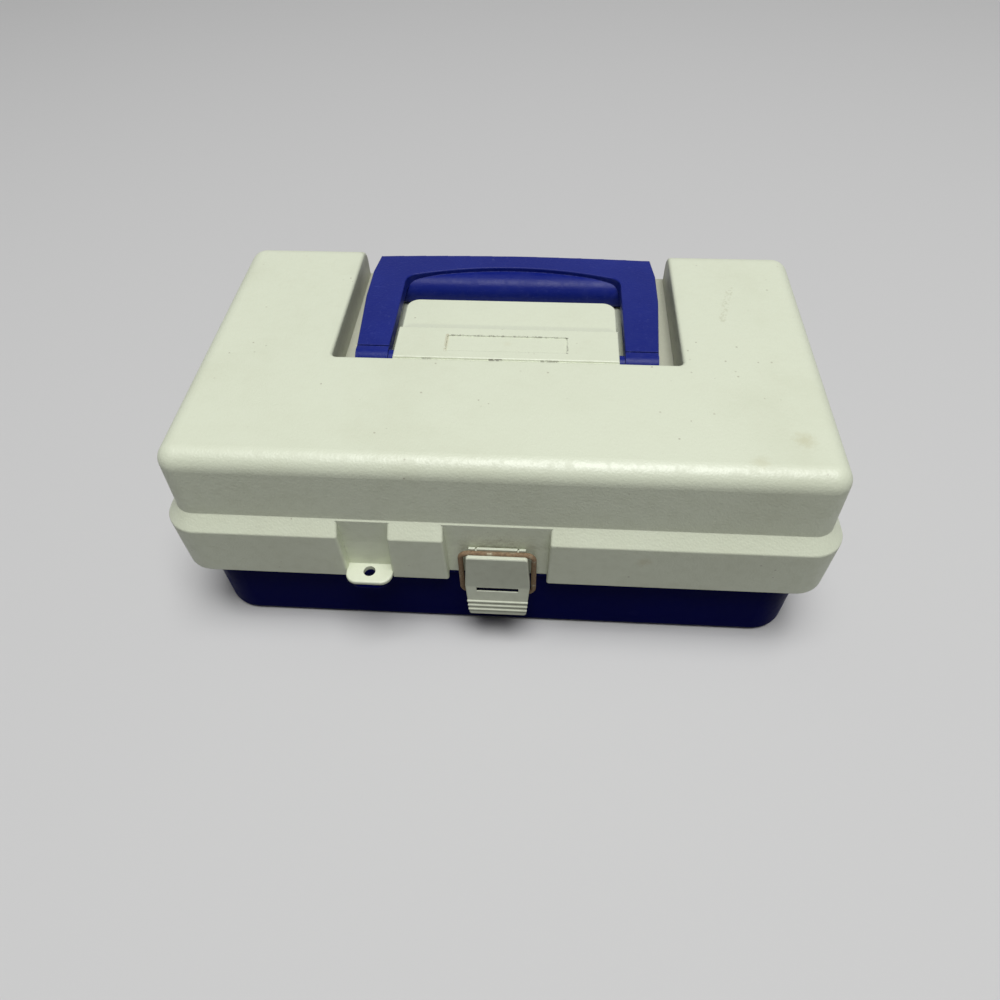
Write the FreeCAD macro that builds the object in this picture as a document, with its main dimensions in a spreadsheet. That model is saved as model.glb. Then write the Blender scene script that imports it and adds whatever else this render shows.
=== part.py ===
import FreeCAD, Part
import math
import os
import re

import Sketcher

# Small one-tray tackle box: a deep lid with an overlapping skirt on a shallower base.
# Frame: X to the right, Y to the back, Z up, origin on the floor under the middle of the base.
# All sizes are in millimetres and all angles in degrees.

DRIVING_SIZES = {
    # base shell
    "base_length": 315.2,
    "base_width": 177.8,
    "base_corner": 20.0,
    "base_draft": 0.7,
    "base_bottom_round": 4.0,
    "base_wall": 2.5,
    "base_rim_height": 49.8,
    "rim_thickness": 1.8,
    "rim_overhang": 2.15,
    "lip_height": 8.2,
    "lip_wall": 1.8,
    # lid shell
    "lid_overhang": 1.25,
    "lid_corner": 11.0,
    "lid_draft": 2.4,
    "lid_wall": 2.4,
    "lid_height": 123.7,
    "lid_top_round": 9.3,
    "ledge_rise": 7.4,
    "skirt_height": 31.0,
    "skirt_overlap": 1.6,
    "ledge_run": 6.15,
    "ledge_round": 1.6,
    "skirt_draft": 0.5,
    "seat_gap": 0.3,
    # front notches and padlock tabs
    "latch_notch_width": 49.4,
    "lock_notch_width": 22.2,
    "notch_side_draft": 1.9,
    "notch_edge_round": 1.4,
    "notch_sill": 0.7,
    "lock_offset": 65.0,
    "lock_tab_width": 23.8,
    "tab_side_gap": 0.8,
    "tab_edge_round": 0.9,
    "lock_tab_length": 14.3,
    "lock_tab_round": 6.0,
    "lock_tab_thickness": 2.6,
    "lock_hole_radius": 3.0,
    "lock_hole_setback": 6.9,
    # handle recess and block
    "handle_side_gap": 8.5,
    "knuckle_front_gap": 0.5,
    "recess_depth": 18.7,
    "recess_corner": 3.0,
    "recess_edge_round": 2.0,
    "block_side_gap": 3.2,
    "block_rise": 0.4,
    "block_step_place": 11.3,
    "finger_gap": 14.5,
    "block_rear_drop": 4.1,
    "block_corner": 7.0,
    "block_edge_round": 0.8,
    "groove_depth": 0.6,
    "field_length": 62.0,
    "field_width": 12.6,
    "field_place": 1.4,
    "field_depth": 0.6,
    "field_corner": 1.5,
    # handle
    "handle_middle_width": 160.6,
    "handle_front_taper": 3.1,
    "handle_back_taper": 2.0,
    "handle_back_place": 80.0,
    "handle_middle_setback": 40.0,
    "handle_shoulder_setback": 16.0,
    "handle_plate": 6.5,
    "handle_inner_width": 121.0,
    "handle_pivot_place": 6.9,
    "handle_pivot_drop": 6.8,
    "handle_knuckle_radius": 6.2,
    "handle_groove": 0.9,
    "handle_groove_place": 4.0,
    "grip_depth": 23.0,
    "grip_plate_depth": 10.0,
    "arch_rise": 10.0,
    "arch_step": 2.6,
    "grip_bow": 2.2,
    "grip_round": 9.0,
    "grip_under_round": 4.0,
    "grip_corner": 7.0,
    "grip_floor_gap": 0.4,
    "handle_edge_round": 0.8,
    "trunnion_radius": 3.0,
    "trunnion_grip": 3.1,
    "hub_radius": 4.6,
    "hub_gap": 0.3,
    # latch
    "bail_wire_radius": 1.35,
    "bail_width": 36.4,
    "bail_bend": 4.0,
    "bail_gap": 5.5,
    "bail_foot_drop": 12.6,
    "bail_top_rise": 18.95,
    "bail_foot_reach": 8.0,
    "lug_radius": 2.5,
    "lug_width": 4.0,
    "lug_gap": 0.3,
    "lever_head_radius": 3.2,
    "lever_head_inset": 1.0,
    "lever_plate": 2.0,
    "lever_side_gap": 0.35,
    "lever_top_taper": 1.4,
    "lever_bottom_taper": 1.7,
    "lever_upper_length": 23.05,
    "lever_lower_length": 21.1,
    "lever_flare": 3.2,
    "lever_flange": 3.4,
    "lever_edge_round": 0.7,
    "lever_corner": 1.4,
    "lever_lean": 0.3,
    "lever_back_rise": 1.6,
    "lever_nick_width": 0.8,
    "lever_nick_inset": 3.3,
    "lever_slot_length": 21.4,
    "lever_slot_width": 2.6,
    "lever_slot_fall": 2.8,
    "lever_rib_pitch": 3.0,
    "lever_rib_drop": 10.9,
    "lever_rib_radius": 0.7,
    "catch_thickness": 3.0,
    "catch_side_gap": 1.1,
    "catch_overhang": 1.0,
    # rear hinge
    "hinge_setback": 3.9,
    "hinge_drop": 3.8,
    "hinge_radius": 4.2,
    "hinge_spacing": 180.0,
    "hinge_base_knuckle": 20.0,
    "hinge_lid_knuckle": 10.0,
    "hinge_side_gap": 0.3,
    "hinge_pin_radius": 1.6,
    "pin_head_radius": 2.8,
    "hinge_web_rise": 9.0,
    # tray and its arms
    "boss_height": 0.9,
    "tray_front_gap": 3.4,
    "tray_back_gap": 22.4,
    "tray_lift": 4.7,
    "tray_headroom": 19.1,
    "tray_wall": 1.8,
    "tray_corner": 8.0,
    "divider_thickness": 1.6,
    "divider_gap": 0.2,
    "divider_rib": 1.5,
    "rib_thickness": 1.2,
    "divider_drop": 3.0,
    "tray_pivot_share": 0.5,
    "rear_pivot_inset": 12.0,
    "front_pivot_inset": 51.0,
    "arm_thickness": 2.6,
    "arm_width": 11.0,
    "arm_side_gap": 0.3,
    "rivet_radius": 1.6,
    "rivet_head_radius": 3.0,
    "rivet_head": 1.0,
    "rivet_seat": 2.4,
    "boss_radius": 5.0,
    "hanger_width": 14.0,
    "hanger_root_depth": 16.0,
    "hanger_drop": 14.4,
    # fits
    "running_gap": 0.05,
    "open_pivot_gap": 0.35,
    "overrun": 30.0,
}

# Sizes that follow from the driving ones, each after those that it uses.
DERIVED_SIZES = {
    # base shell
    "half_base_width": "base_width / 2",
    "rim_underside": "base_rim_height - rim_thickness",
    "rim_growth": "rim_overhang + rim_underside * tan(base_draft * 1deg)",
    "lip_growth": "lip_wall - base_wall",
    "inner_length": "base_length - 2 * base_wall",
    "inner_width": "base_width - 2 * base_wall",
    "half_inner_length": "inner_length / 2",
    "half_inner_width": "inner_width / 2",
    "lip_top": "base_rim_height + lip_height",
    # lid shell
    "lid_length": "base_length + 2 * lid_overhang",
    "lid_width": "base_width + 2 * lid_overhang",
    "lid_edge_height": "base_rim_height + seat_gap",
    "skirt_bottom_height": "base_rim_height - skirt_overlap",
    "skirt_top_height": "skirt_bottom_height + skirt_height",
    "lid_foot_height": "skirt_top_height + ledge_rise",
    "lid_slope": "tan(lid_draft * 1deg)",
    "lid_edge_length": "lid_length + 2 * (lid_foot_height - lid_edge_height) * lid_slope",
    "lid_edge_width": "lid_width + 2 * (lid_foot_height - lid_edge_height) * lid_slope",
    "lid_edge_corner": "lid_corner + (lid_foot_height - lid_edge_height) * lid_slope",
    "lid_hollow_round": "lid_top_round - lid_wall",
    "skirt_length": "lid_length + 2 * ledge_run",
    "skirt_width": "lid_width + 2 * ledge_run",
    "skirt_corner": "lid_corner + ledge_run",
    "ledge_slant": "atan(ledge_run / ledge_rise) / 1deg",
    "ledge_slant_length": "sqrt(ledge_run ^ 2 + ledge_rise ^ 2)",
    "ledge_drop": "lid_wall * (ledge_slant_length - ledge_rise) / ledge_run",
    "half_skirt_width": "skirt_width / 2",
    "half_edge_width": "lid_edge_width / 2",
    "skirt_lean": "skirt_height * tan(skirt_draft * 1deg)",
    "skirt_foot_place": "half_skirt_width - skirt_lean - lid_wall / 2",
    # front notches and padlock tabs
    "notch_slope": "tan(notch_side_draft * 1deg)",
    "notch_back": "half_skirt_width - ledge_run - lid_wall",
    "notch_top": "lid_foot_height + lid_wall",
    "base_tab_width": "lock_notch_width - 2 * tab_side_gap",
    "lock_tab_reach": "half_base_width + lock_tab_length",
    "lock_hole_reach": "lock_tab_reach - lock_hole_setback",
    # handle
    "handle_front_width": "handle_middle_width - 2 * handle_front_taper",
    "handle_back_width": "handle_middle_width - 2 * handle_back_taper",
    "handle_middle_place": "handle_back_place - handle_middle_setback",
    "handle_shoulder_place": "handle_back_place - handle_shoulder_setback",
    "handle_pivot_height": "lid_height - handle_pivot_drop",
    "handle_top": "handle_pivot_height + handle_knuckle_radius",
    "handle_underside": "handle_top - handle_plate",
    "half_handle_inner": "handle_inner_width / 2",
    "grip_front_place": "handle_back_place - grip_depth",
    "grip_arch_place": "handle_back_place - grip_plate_depth",
    "arch_radius": "(half_handle_inner ^ 2 + arch_rise ^ 2) / (2 * arch_rise)",
    "grip_back": "handle_back_place + grip_bow",
    "grip_top": "handle_top - arch_step",
    "bow_radius": "((handle_back_width / 2) ^ 2 + grip_bow ^ 2) / (2 * grip_bow)",
    # handle recess and block
    "recess_width": "handle_middle_width + 2 * handle_side_gap",
    "half_recess": "recess_width / 2",
    "recess_front": "handle_pivot_place + handle_knuckle_radius + knuckle_front_gap",
    "recess_reach": "recess_front + half_edge_width + overrun",
    "recess_floor_height": "lid_height - recess_depth",
    "recess_underside": "recess_floor_height - lid_wall",
    "grip_bottom": "recess_floor_height + grip_floor_gap",
    "handle_depth": "handle_top - grip_bottom",
    "block_width": "handle_inner_width - 2 * block_side_gap",
    "half_block": "block_width / 2",
    "block_inner_width": "block_width - 2 * lid_wall",
    "block_back_place": "grip_front_place - finger_gap",
    "block_rear_depth": "block_back_place - block_step_place + lid_wall",
    "block_front_height": "lid_height + block_rise",
    "block_rear_height": "lid_height - block_rear_drop",
    # latch
    "bail_place": "half_base_width + bail_gap",
    "bail_foot_height": "base_rim_height - bail_foot_drop",
    "bail_top_height": "base_rim_height + bail_top_rise",
    "lever_front": "bail_place + lever_head_radius + seat_gap",
    "lever_plate_top": "bail_top_height + seat_gap",
    "lever_crease_width": "bail_width - 2 * bail_wire_radius - 2 * lever_side_gap",
    "lever_top_width": "lever_crease_width - 2 * lever_top_taper",
    "lever_bottom_width": "lever_crease_width - 2 * lever_bottom_taper",
    "lever_head_length": "lever_top_width - 2 * lever_head_inset",
    "lever_crease_height": "bail_top_height - lever_upper_length",
    "lever_bottom_height": "lever_crease_height - lever_lower_length",
    "lever_rib_height": "lever_crease_height - lever_rib_drop",
    "lever_slot_bottom": "lever_crease_height - lever_rib_radius - lever_slot_width",
    "catch_length": "lever_top_width - 2 * lever_plate - 2 * catch_side_gap",
    "catch_root": "half_edge_width - lid_wall / 2",
    "catch_top": "bail_top_height - lever_head_radius - seat_gap",
    "catch_reach": "bail_place + catch_overhang",
    # rear hinge
    "hinge_place": "half_skirt_width + hinge_setback",
    "hinge_height": "base_rim_height - hinge_drop",
    # tray and its arms
    "tray_length": "inner_length - 2 * (boss_height + arm_thickness + 2 * arm_side_gap)",
    "tray_front_place": "half_inner_width - tray_front_gap",
    "tray_back_place": "half_inner_width - tray_back_gap",
    "tray_bottom_height": "base_rim_height + tray_lift",
    "tray_floor": "tray_bottom_height + tray_wall",
    "tray_depth": "recess_underside - tray_headroom - tray_bottom_height",
    "tray_pivot_height": "tray_bottom_height + tray_depth * tray_pivot_share",
    "tray_rear_pivot_place": "tray_back_place - rear_pivot_inset",
    "tray_front_pivot_place": "tray_front_place - front_pivot_inset",
    "row_wall_place": "(tray_back_place - tray_front_place) / 2",
    "divider_pitch": "tray_length / 4",
    "divider_height": "tray_depth - tray_wall - divider_drop",
    "hanger_face": "tray_length / 2 + arm_side_gap",
    "hanger_top_height": "lid_height - lid_top_round - hanger_drop",
    "hanger_root_height": "hanger_top_height - hanger_root_depth",
    "arm_face": "hanger_face + arm_thickness",
    "boss_face": "arm_face + arm_side_gap",
    "base_pivot_place": "hinge_place - tray_rear_pivot_place - tray_front_pivot_place",
    "base_pivot_height": "hinge_height",
    "arm_run": "base_pivot_place + tray_front_pivot_place",
    "arm_lift": "tray_pivot_height - base_pivot_height",
    "arm_reach": "sqrt(arm_run ^ 2 + arm_lift ^ 2)",
    "arm_shift_y": "arm_width / 2 * arm_lift / arm_reach",
    "arm_shift_z": "arm_width / 2 * arm_run / arm_reach",
}

# Length below which an edge counts as lying flat in a plane, only used to find edges
FLAT = 0.01

document = FreeCAD.newDocument("TackleBox")
sheet = document.addObject("Spreadsheet::Sheet", "Sizes")
ALIASES = list(DRIVING_SIZES) + list(DERIVED_SIZES)
WORD = re.compile(r"[a-z][a-z_]*")


def with_sheet_names(formula):
    """Return a formula whose size names point at the cells of the sheet."""
    return WORD.sub(lambda m: "Sizes." + m.group() if m.group() in ALIASES else m.group(), str(formula))


for row, (alias, content) in enumerate(list(DRIVING_SIZES.items()) + list(DERIVED_SIZES.items()), start=1):
    sheet.set("A%d" % row, alias.replace("_", " "))
    if alias in DERIVED_SIZES:
        content = "=" + content
    sheet.set("B%d" % row, str(content))
    sheet.setAlias("B%d" % row, alias)
document.recompute()


def bind(target, path, formula):
    """Bind one property of an object to a formula in size names."""
    target.setExpression(path, with_sheet_names(formula))


def size(alias):
    """Return the present value of a size."""
    return float(sheet.get(alias))


def place(target, x=0, y=0, z=0):
    """Bind the position of an object."""
    for axis, formula in (("x", x), ("y", y), ("z", z)):
        bind(target, "Placement.Base." + axis, formula)


def turn(target, axis, degrees):
    """Turn an object about its own corner or centre."""
    target.Placement = FreeCAD.Placement(FreeCAD.Vector(), FreeCAD.Rotation(axis, degrees))


def box(name, x, y, z, length, width, height):
    """Make a block from its low corner and its three sizes."""
    block = document.addObject("Part::Box", name)
    place(block, x, y, z)
    bind(block, "Length", length)
    bind(block, "Width", width)
    bind(block, "Height", height)
    return block


def wide_box(name, width_x, y, z, width, height):
    """Make a block that is centred on X."""
    return box(name, "-(%s) / 2" % width_x, y, z, width_x, width, height)


def cylinder_z(name, x, y, z, radius, height):
    """Make an upright cylinder."""
    rod = document.addObject("Part::Cylinder", name)
    place(rod, x, y, z)
    bind(rod, "Radius", radius)
    bind(rod, "Height", height)
    return rod


def cylinder_x(name, x, y, z, radius, length):
    """Make a cylinder along X that starts at x."""
    rod = document.addObject("Part::Cylinder", name)
    turn(rod, FreeCAD.Vector(0, 1, 0), 90)
    place(rod, x, y, z)
    bind(rod, "Radius", radius)
    bind(rod, "Height", length)
    return rod


def fuse(name, pieces):
    """Join pieces into one solid."""
    joined = document.addObject("Part::MultiFuse", name)
    joined.Shapes = pieces
    joined.Refine = True
    return joined


def cut(name, base, tool):
    """Take a tool away from a base."""
    result = document.addObject("Part::Cut", name)
    result.Base = base
    result.Tool = tool
    result.Refine = True
    return result


def common(name, first, second):
    """Keep what two pieces share."""
    result = document.addObject("Part::MultiCommon", name)
    result.Shapes = [first, second]
    result.Refine = True
    return result


def mirrored(name, piece):
    """Mirror a piece across the middle plane X = 0."""
    twin = document.addObject("Part::Mirroring", name)
    twin.Source = piece
    twin.Base = FreeCAD.Vector()
    twin.Normal = FreeCAD.Vector(1, 0, 0)
    return twin


def origin_plane(body, role):
    """Find one of the origin planes of a body by its role."""
    return next(feature for feature in body.Origin.OriginFeatures if feature.Role == role)


def attached_sketch(body, name, role, offset):
    """Make a sketch on an origin plane of its body, at a bound distance from it."""
    sketch = body.newObject("Sketcher::SketchObject", name)
    sketch.AttachmentSupport = [(origin_plane(body, role), "")]
    sketch.MapMode = "FlatFace"
    bind(sketch, "AttachmentOffset.Base.z", offset)
    return sketch


def rounded_rectangle(sketch, length, width, corner):
    """Draw a rounded rectangle centred on the origin, bound to its three sizes."""
    half_x = sheet_value(length) / 2
    half_y = sheet_value(width) / 2
    radius = sheet_value(corner)
    corners = [(1, 1, 0), (-1, 1, 90), (-1, -1, 180), (1, -1, 270)]
    centres = [FreeCAD.Vector(sx * (half_x - radius), sy * (half_y - radius), 0) for sx, sy, _ in corners]
    up = FreeCAD.Vector(0, 0, 1)
    for centre, (_, _, start) in zip(centres, corners):
        circle = Part.Circle(centre, up, radius)
        sketch.addGeometry(Part.ArcOfCircle(circle, math.radians(start), math.radians(start + 90)), False)
    for index in range(4):
        following = (index + 1) % 4
        start = sketch.Geometry[index].EndPoint
        end = sketch.Geometry[following].StartPoint
        sketch.addGeometry(Part.LineSegment(start, end), False)
    for index in range(4):
        line = 4 + index
        following = (index + 1) % 4
        sketch.addConstraint(Sketcher.Constraint("Tangent", index, 2, line, 1))
        sketch.addConstraint(Sketcher.Constraint("Tangent", line, 2, following, 1))
    for line in (4, 6):
        sketch.addConstraint(Sketcher.Constraint("Horizontal", line))
    for line in (5, 7):
        sketch.addConstraint(Sketcher.Constraint("Vertical", line))
    for index in range(3):
        sketch.addConstraint(Sketcher.Constraint("Equal", index, index + 1))
    sketch.addConstraint(Sketcher.Constraint("Symmetric", 0, 3, 2, 3, -1, 1))
    for label, constraint in (
        ("corner", Sketcher.Constraint("Radius", 0, radius)),
        ("length", Sketcher.Constraint("DistanceX", 5, 1, 7, 1, 2 * half_x)),
        ("width", Sketcher.Constraint("DistanceY", 6, 1, 4, 1, 2 * half_y)),
    ):
        number = sketch.addConstraint(constraint)
        sketch.renameConstraint(number, label)
    bind(sketch, "Constraints.corner", corner)
    bind(sketch, "Constraints.length", length)
    bind(sketch, "Constraints.width", width)


def drafted_slab(name, bottom, height, length, width, corner, taper, downwards=False):
    """Pad a rounded rectangle from its sketch plane; a positive taper widens it away from the plane."""
    body = document.addObject("PartDesign::Body", name)
    sketch = attached_sketch(body, name + "Outline", "XY_Plane", bottom)
    rounded_rectangle(sketch, length, width, corner)
    pad = body.newObject("PartDesign::Pad", name + "Pad")
    pad.Profile = sketch
    pad.Reversed = downwards
    bind(pad, "Length", height)
    bind(pad, "TaperAngle", taper)
    return body


def side_profile(name, points, start, length):
    """Extrude an outline, given as (y, z) formulas, along X from start."""
    body = document.addObject("PartDesign::Body", name)
    sketch = attached_sketch(body, name + "Outline", "YZ_Plane", start)
    draw_polygon(sketch, points)
    pad = body.newObject("PartDesign::Pad", name + "Pad")
    pad.Profile = sketch
    bind(pad, "Length", length)
    return body


def front_profile(name, points, start, length):
    """Extrude an outline, given as (x, z) formulas, forwards from Y = -start."""
    body = document.addObject("PartDesign::Body", name)
    sketch = attached_sketch(body, name + "Outline", "XZ_Plane", start)
    draw_polygon(sketch, points)
    pad = body.newObject("PartDesign::Pad", name + "Pad")
    pad.Profile = sketch
    bind(pad, "Length", length)
    return body


def plan_profile(name, points, start, height):
    """Extrude an outline, given as (x, y) formulas, upwards from start."""
    body = document.addObject("PartDesign::Body", name)
    sketch = attached_sketch(body, name + "Outline", "XY_Plane", start)
    draw_polygon(sketch, points)
    pad = body.newObject("PartDesign::Pad", name + "Pad")
    pad.Profile = sketch
    bind(pad, "Length", height)
    return body


def draw_polygon(sketch, points):
    """Draw a closed polygon whose corners are bound to formulas."""
    values = []
    for pair in points:
        values.append(tuple(sheet_value(formula) for formula in pair))
    count = len(points)
    for index, (u, v) in enumerate(values):
        next_u, next_v = values[(index + 1) % count]
        start = FreeCAD.Vector(u, v, 0)
        end = FreeCAD.Vector(next_u, next_v, 0)
        sketch.addGeometry(Part.LineSegment(start, end), False)
    for index in range(count):
        sketch.addConstraint(Sketcher.Constraint("Coincident", index, 2, (index + 1) % count, 1))
    for index, pair in enumerate(points):
        for kind, value, formula in zip(("DistanceX", "DistanceY"), values[index], pair):
            number = sketch.addConstraint(Sketcher.Constraint(kind, -1, 1, index, 1, value))
            label = "corner%d%s" % (index, kind[-1])
            sketch.renameConstraint(number, label)
            bind(sketch, "Constraints." + label, formula)


def sheet_value(formula):
    """Work out a formula in size names as a plain number."""
    return float(sheet.evalExpression(with_sheet_names(formula).replace("Sizes.", "")))


def edges_where(shape, test):
    """List the numbers of the edges of a shape that pass a test."""
    return [number for number, edge in enumerate(shape.Edges, start=1) if test(edge)]


def round_edges(name, base, radius, test):
    """Round the edges of a piece that pass a test."""
    document.recompute()
    rounded = document.addObject("Part::Fillet", name)
    rounded.Base = base
    value = size(radius)
    rounded.Edges = [(number, value, value) for number in edges_where(base.Shape, test)]
    return rounded


def spans(edge, axis, value, tolerance):
    """Tell whether an edge lies in the plane where an axis has a value."""
    low = getattr(edge.BoundBox, axis + "Min")
    high = getattr(edge.BoundBox, axis + "Max")
    return abs(low - value) < tolerance and abs(high - value) < tolerance


# Base shell: walls, rim, lip and hollow
base_walls = drafted_slab(
    "BaseWalls", 0, "rim_underside", "base_length", "base_width", "base_corner", "base_draft"
)
base_rounded = round_edges(
    "BaseRounded", base_walls, "base_bottom_round", lambda edge: spans(edge, "Z", 0, FLAT)
)
base_rim = drafted_slab(
    "BaseRim", "rim_underside", "rim_thickness",
    "base_length + 2 * rim_growth", "base_width + 2 * rim_growth", "base_corner + rim_growth", 0
)
base_lip = drafted_slab(
    "BaseLip", "rim_underside", "lip_top - rim_underside",
    "base_length + 2 * lip_growth", "base_width + 2 * lip_growth", "base_corner + lip_growth", 0
)
base_hollow = drafted_slab(
    "BaseHollow", "base_wall", "lip_top - base_wall + overrun",
    "inner_length", "inner_width", "base_corner - base_wall", 0
)


# Padlock tabs, one on the base right under the one on the lid
def lock_tab(name, bottom, width):
    """Make a padlock tab with rounded front corners, without its hole."""
    plate = box(
        name + "Plate", "-lock_offset - %s / 2" % width, "-lock_tab_reach", bottom,
        width, "lock_tab_reach - half_base_width + base_wall / 2", "lock_tab_thickness"
    )
    cornered = round_edges(
        name + "Cornered", plate, "lock_tab_round",
        lambda edge: edge.BoundBox.YMax < -size("lock_tab_reach") + FLAT and edge.BoundBox.ZLength > FLAT
    )
    return round_edges(
        name, cornered, "tab_edge_round",
        lambda edge: edge.BoundBox.ZLength < FLAT and edge.BoundBox.YMin < -size("lock_hole_reach") - FLAT
    )


def lock_hole(name, bottom):
    """Make the tool that drills a padlock hole."""
    return cylinder_z(
        name, "-lock_offset", "-lock_hole_reach", "%s - overrun / 2" % bottom,
        "lock_hole_radius", "lock_tab_thickness + overrun"
    )


base_tab = lock_tab("BaseTab", "base_rim_height - lock_tab_thickness", "base_tab_width")

# Lugs that carry the feet of the bail
lug_start = "bail_width / 2 - bail_bend - lug_gap - lug_width"
lug_boss = cylinder_x("LugBoss", lug_start, "-bail_place", "bail_foot_height", "lug_radius", "lug_width")
lug_web = box(
    "LugWeb", lug_start, "-bail_place", "bail_foot_height - lug_radius",
    "lug_width", "bail_place - half_base_width + base_wall / 2", "2 * lug_radius"
)
lug_right = fuse("LugRight", [lug_boss, lug_web])
lug_left = mirrored("LugLeft", lug_right)
lug_bore = cylinder_x(
    "LugBore", "-bail_width / 2", "-bail_place", "bail_foot_height",
    "bail_wire_radius + running_gap", "bail_width"
)

# Knuckles of the base and the seats of the arms
hinge_middle = "hinge_spacing / 2"
base_knuckle = cylinder_x(
    "BaseKnuckle", hinge_middle + " - hinge_base_knuckle / 2", "hinge_place", "hinge_height",
    "hinge_radius", "hinge_base_knuckle"
)
base_knuckle_web = side_profile(
    "BaseKnuckleWeb",
    [
        ("half_base_width - base_wall / 2", "rim_underside - seat_gap"),
        ("hinge_place", "rim_underside - seat_gap"),
        ("hinge_place", "hinge_height - hinge_radius"),
        ("half_base_width - base_wall / 2", "hinge_height - hinge_radius - hinge_web_rise"),
    ],
    hinge_middle + " - hinge_base_knuckle / 2", "hinge_base_knuckle"
)
base_hinge_right = fuse("BaseHingeRight", [base_knuckle, base_knuckle_web])
base_hinge_left = mirrored("BaseHingeLeft", base_hinge_right)
pin_bore = cylinder_x(
    "PinBore", "-base_length / 2", "hinge_place", "hinge_height", "hinge_pin_radius", "base_length"
)
arm_boss_right = cylinder_x(
    "ArmBossRight", "boss_face", "base_pivot_place", "base_pivot_height",
    "boss_radius", "half_inner_length + base_wall / 2 - boss_face"
)
arm_boss_left = mirrored("ArmBossLeft", arm_boss_right)
boss_bore_right = cylinder_x(
    "BossBoreRight", "boss_face - overrun", "base_pivot_place", "base_pivot_height",
    "rivet_radius", "overrun + rivet_seat"
)
boss_bore_left = mirrored("BossBoreLeft", boss_bore_right)

base_outside = fuse("BaseOutside", [
    base_rounded, base_rim, base_lip, base_tab, lug_right, lug_left, base_hinge_right, base_hinge_left
])
base_opened = cut("BaseOpened", base_outside, base_hollow)
base_with_bosses = fuse("BaseWithBosses", [base_opened, arm_boss_right, arm_boss_left])
base_bores = fuse("BaseBores", [
    lug_bore, pin_bore, boss_bore_right, boss_bore_left, lock_hole("BaseLockHole", "rim_underside")
])
base_shell = cut("base_shell", base_with_bosses, base_bores)

# Lid: outside shape
lid_upper = drafted_slab(
    "LidUpper", "lid_edge_height", "lid_height - lid_edge_height",
    "lid_edge_length", "lid_edge_width", "lid_edge_corner", "-lid_draft"
)
lid_rounded = round_edges(
    "LidRounded", lid_upper, "lid_top_round", lambda edge: spans(edge, "Z", size("lid_height"), FLAT)
)
skirt_wall = drafted_slab(
    "SkirtWall", "skirt_top_height", "skirt_top_height - skirt_bottom_height",
    "skirt_length", "skirt_width", "skirt_corner", "-skirt_draft", downwards=True
)
skirt_ledge = drafted_slab(
    "SkirtLedge", "skirt_top_height", "ledge_rise",
    "skirt_length", "skirt_width", "skirt_corner", "-ledge_slant"
)
skirt_outside = round_edges(
    "SkirtOutside", fuse("SkirtSharp", [skirt_wall, skirt_ledge]), "ledge_round",
    lambda edge: spans(edge, "Z", size("skirt_top_height"), FLAT)
)


# Notches in the skirt for the latch and for the padlock, and the walls round them
def notch(name, centre, width, side, bottom, back):
    """Make the tool of a notch that widens upwards, grown by side at each side."""
    low = "%s / 2 + %s + (%s - skirt_bottom_height) * notch_slope" % (width, side, bottom)
    high = "%s / 2 + %s + (notch_top - skirt_bottom_height) * notch_slope" % (width, side)
    corners = [
        ("%s - (%s)" % (centre, low), bottom),
        ("%s + %s" % (centre, low), bottom),
        ("%s + %s" % (centre, high), "notch_top"),
        ("%s - (%s)" % (centre, high), "notch_top"),
    ]
    return front_profile(name, corners, back, "overrun")


NOTCHES = (("Latch", "0", "latch_notch_width"), ("Lock", "-lock_offset", "lock_notch_width"))
notch_cuts = fuse("NotchCuts", [
    notch(name + "Notch", centre, width, "0", "skirt_bottom_height - lid_wall", "notch_back")
    for name, centre, width in NOTCHES
])
notch_walls = fuse("NotchWalls", [
    notch(name + "NotchWalls", centre, width, "lid_wall", "lid_edge_height", "notch_back - lid_wall")
    for name, centre, width in NOTCHES
])
skirt_notched = round_edges(
    "SkirtNotched", cut("SkirtCut", skirt_outside, notch_cuts), "notch_edge_round",
    lambda edge: (
        edge.BoundBox.XLength < size("lid_wall") < edge.BoundBox.ZLength
        and edge.BoundBox.YMax < -size("lid_width") / 2 + FLAT
        and edge.CenterOfMass.x < size("latch_notch_width")
        and edge.CenterOfMass.x > -size("lock_offset") - size("lock_notch_width")
    )
)
notch_sill = common("NotchSill", skirt_outside, box(
    "NotchSillBlock", "-lock_offset - lock_notch_width", "-lid_width / 2 - notch_sill", "lid_edge_height",
    "lock_offset + lock_notch_width + latch_notch_width", "notch_sill + lid_wall",
    "notch_top - lid_edge_height"
))
lid_outside = fuse("LidOutside", [lid_rounded, skirt_notched, notch_sill])

# Recess for the handle, with the block between the legs of the handle
recess_box = wide_box(
    "RecessBox", "recess_width", "-recess_front", "recess_floor_height",
    "recess_reach", "lid_height - recess_floor_height + overrun"
)
recess_cut = round_edges(
    "RecessCut", recess_box, "recess_corner",
    lambda edge: spans(edge, "Y", -size("recess_front"), FLAT) and edge.BoundBox.ZLength > FLAT
)
lid_recessed = cut("LidRecessed", lid_outside, recess_cut)
lid_softened = round_edges("LidSoftened", lid_recessed, "recess_edge_round", lambda edge: (
    spans(edge, "Z", size("lid_height"), FLAT)
    and abs(edge.CenterOfMass.x) < size("half_recess") + FLAT
    and edge.BoundBox.YMin > -size("recess_front") - FLAT
))
block_front = wide_box(
    "BlockFront", "block_width", "-recess_front", "recess_underside",
    "recess_front + block_step_place", "block_front_height - recess_underside"
)
block_rear = wide_box(
    "BlockRear", "block_width", "block_step_place - lid_wall", "recess_underside",
    "block_rear_depth", "block_rear_height - recess_underside"
)
block_rear_cornered = round_edges(
    "BlockRearCornered", block_rear, "block_corner",
    lambda edge: spans(edge, "Y", size("block_back_place"), FLAT) and edge.BoundBox.ZLength > FLAT
)
block_raw = fuse("BlockRaw", [block_front, block_rear_cornered])
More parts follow.
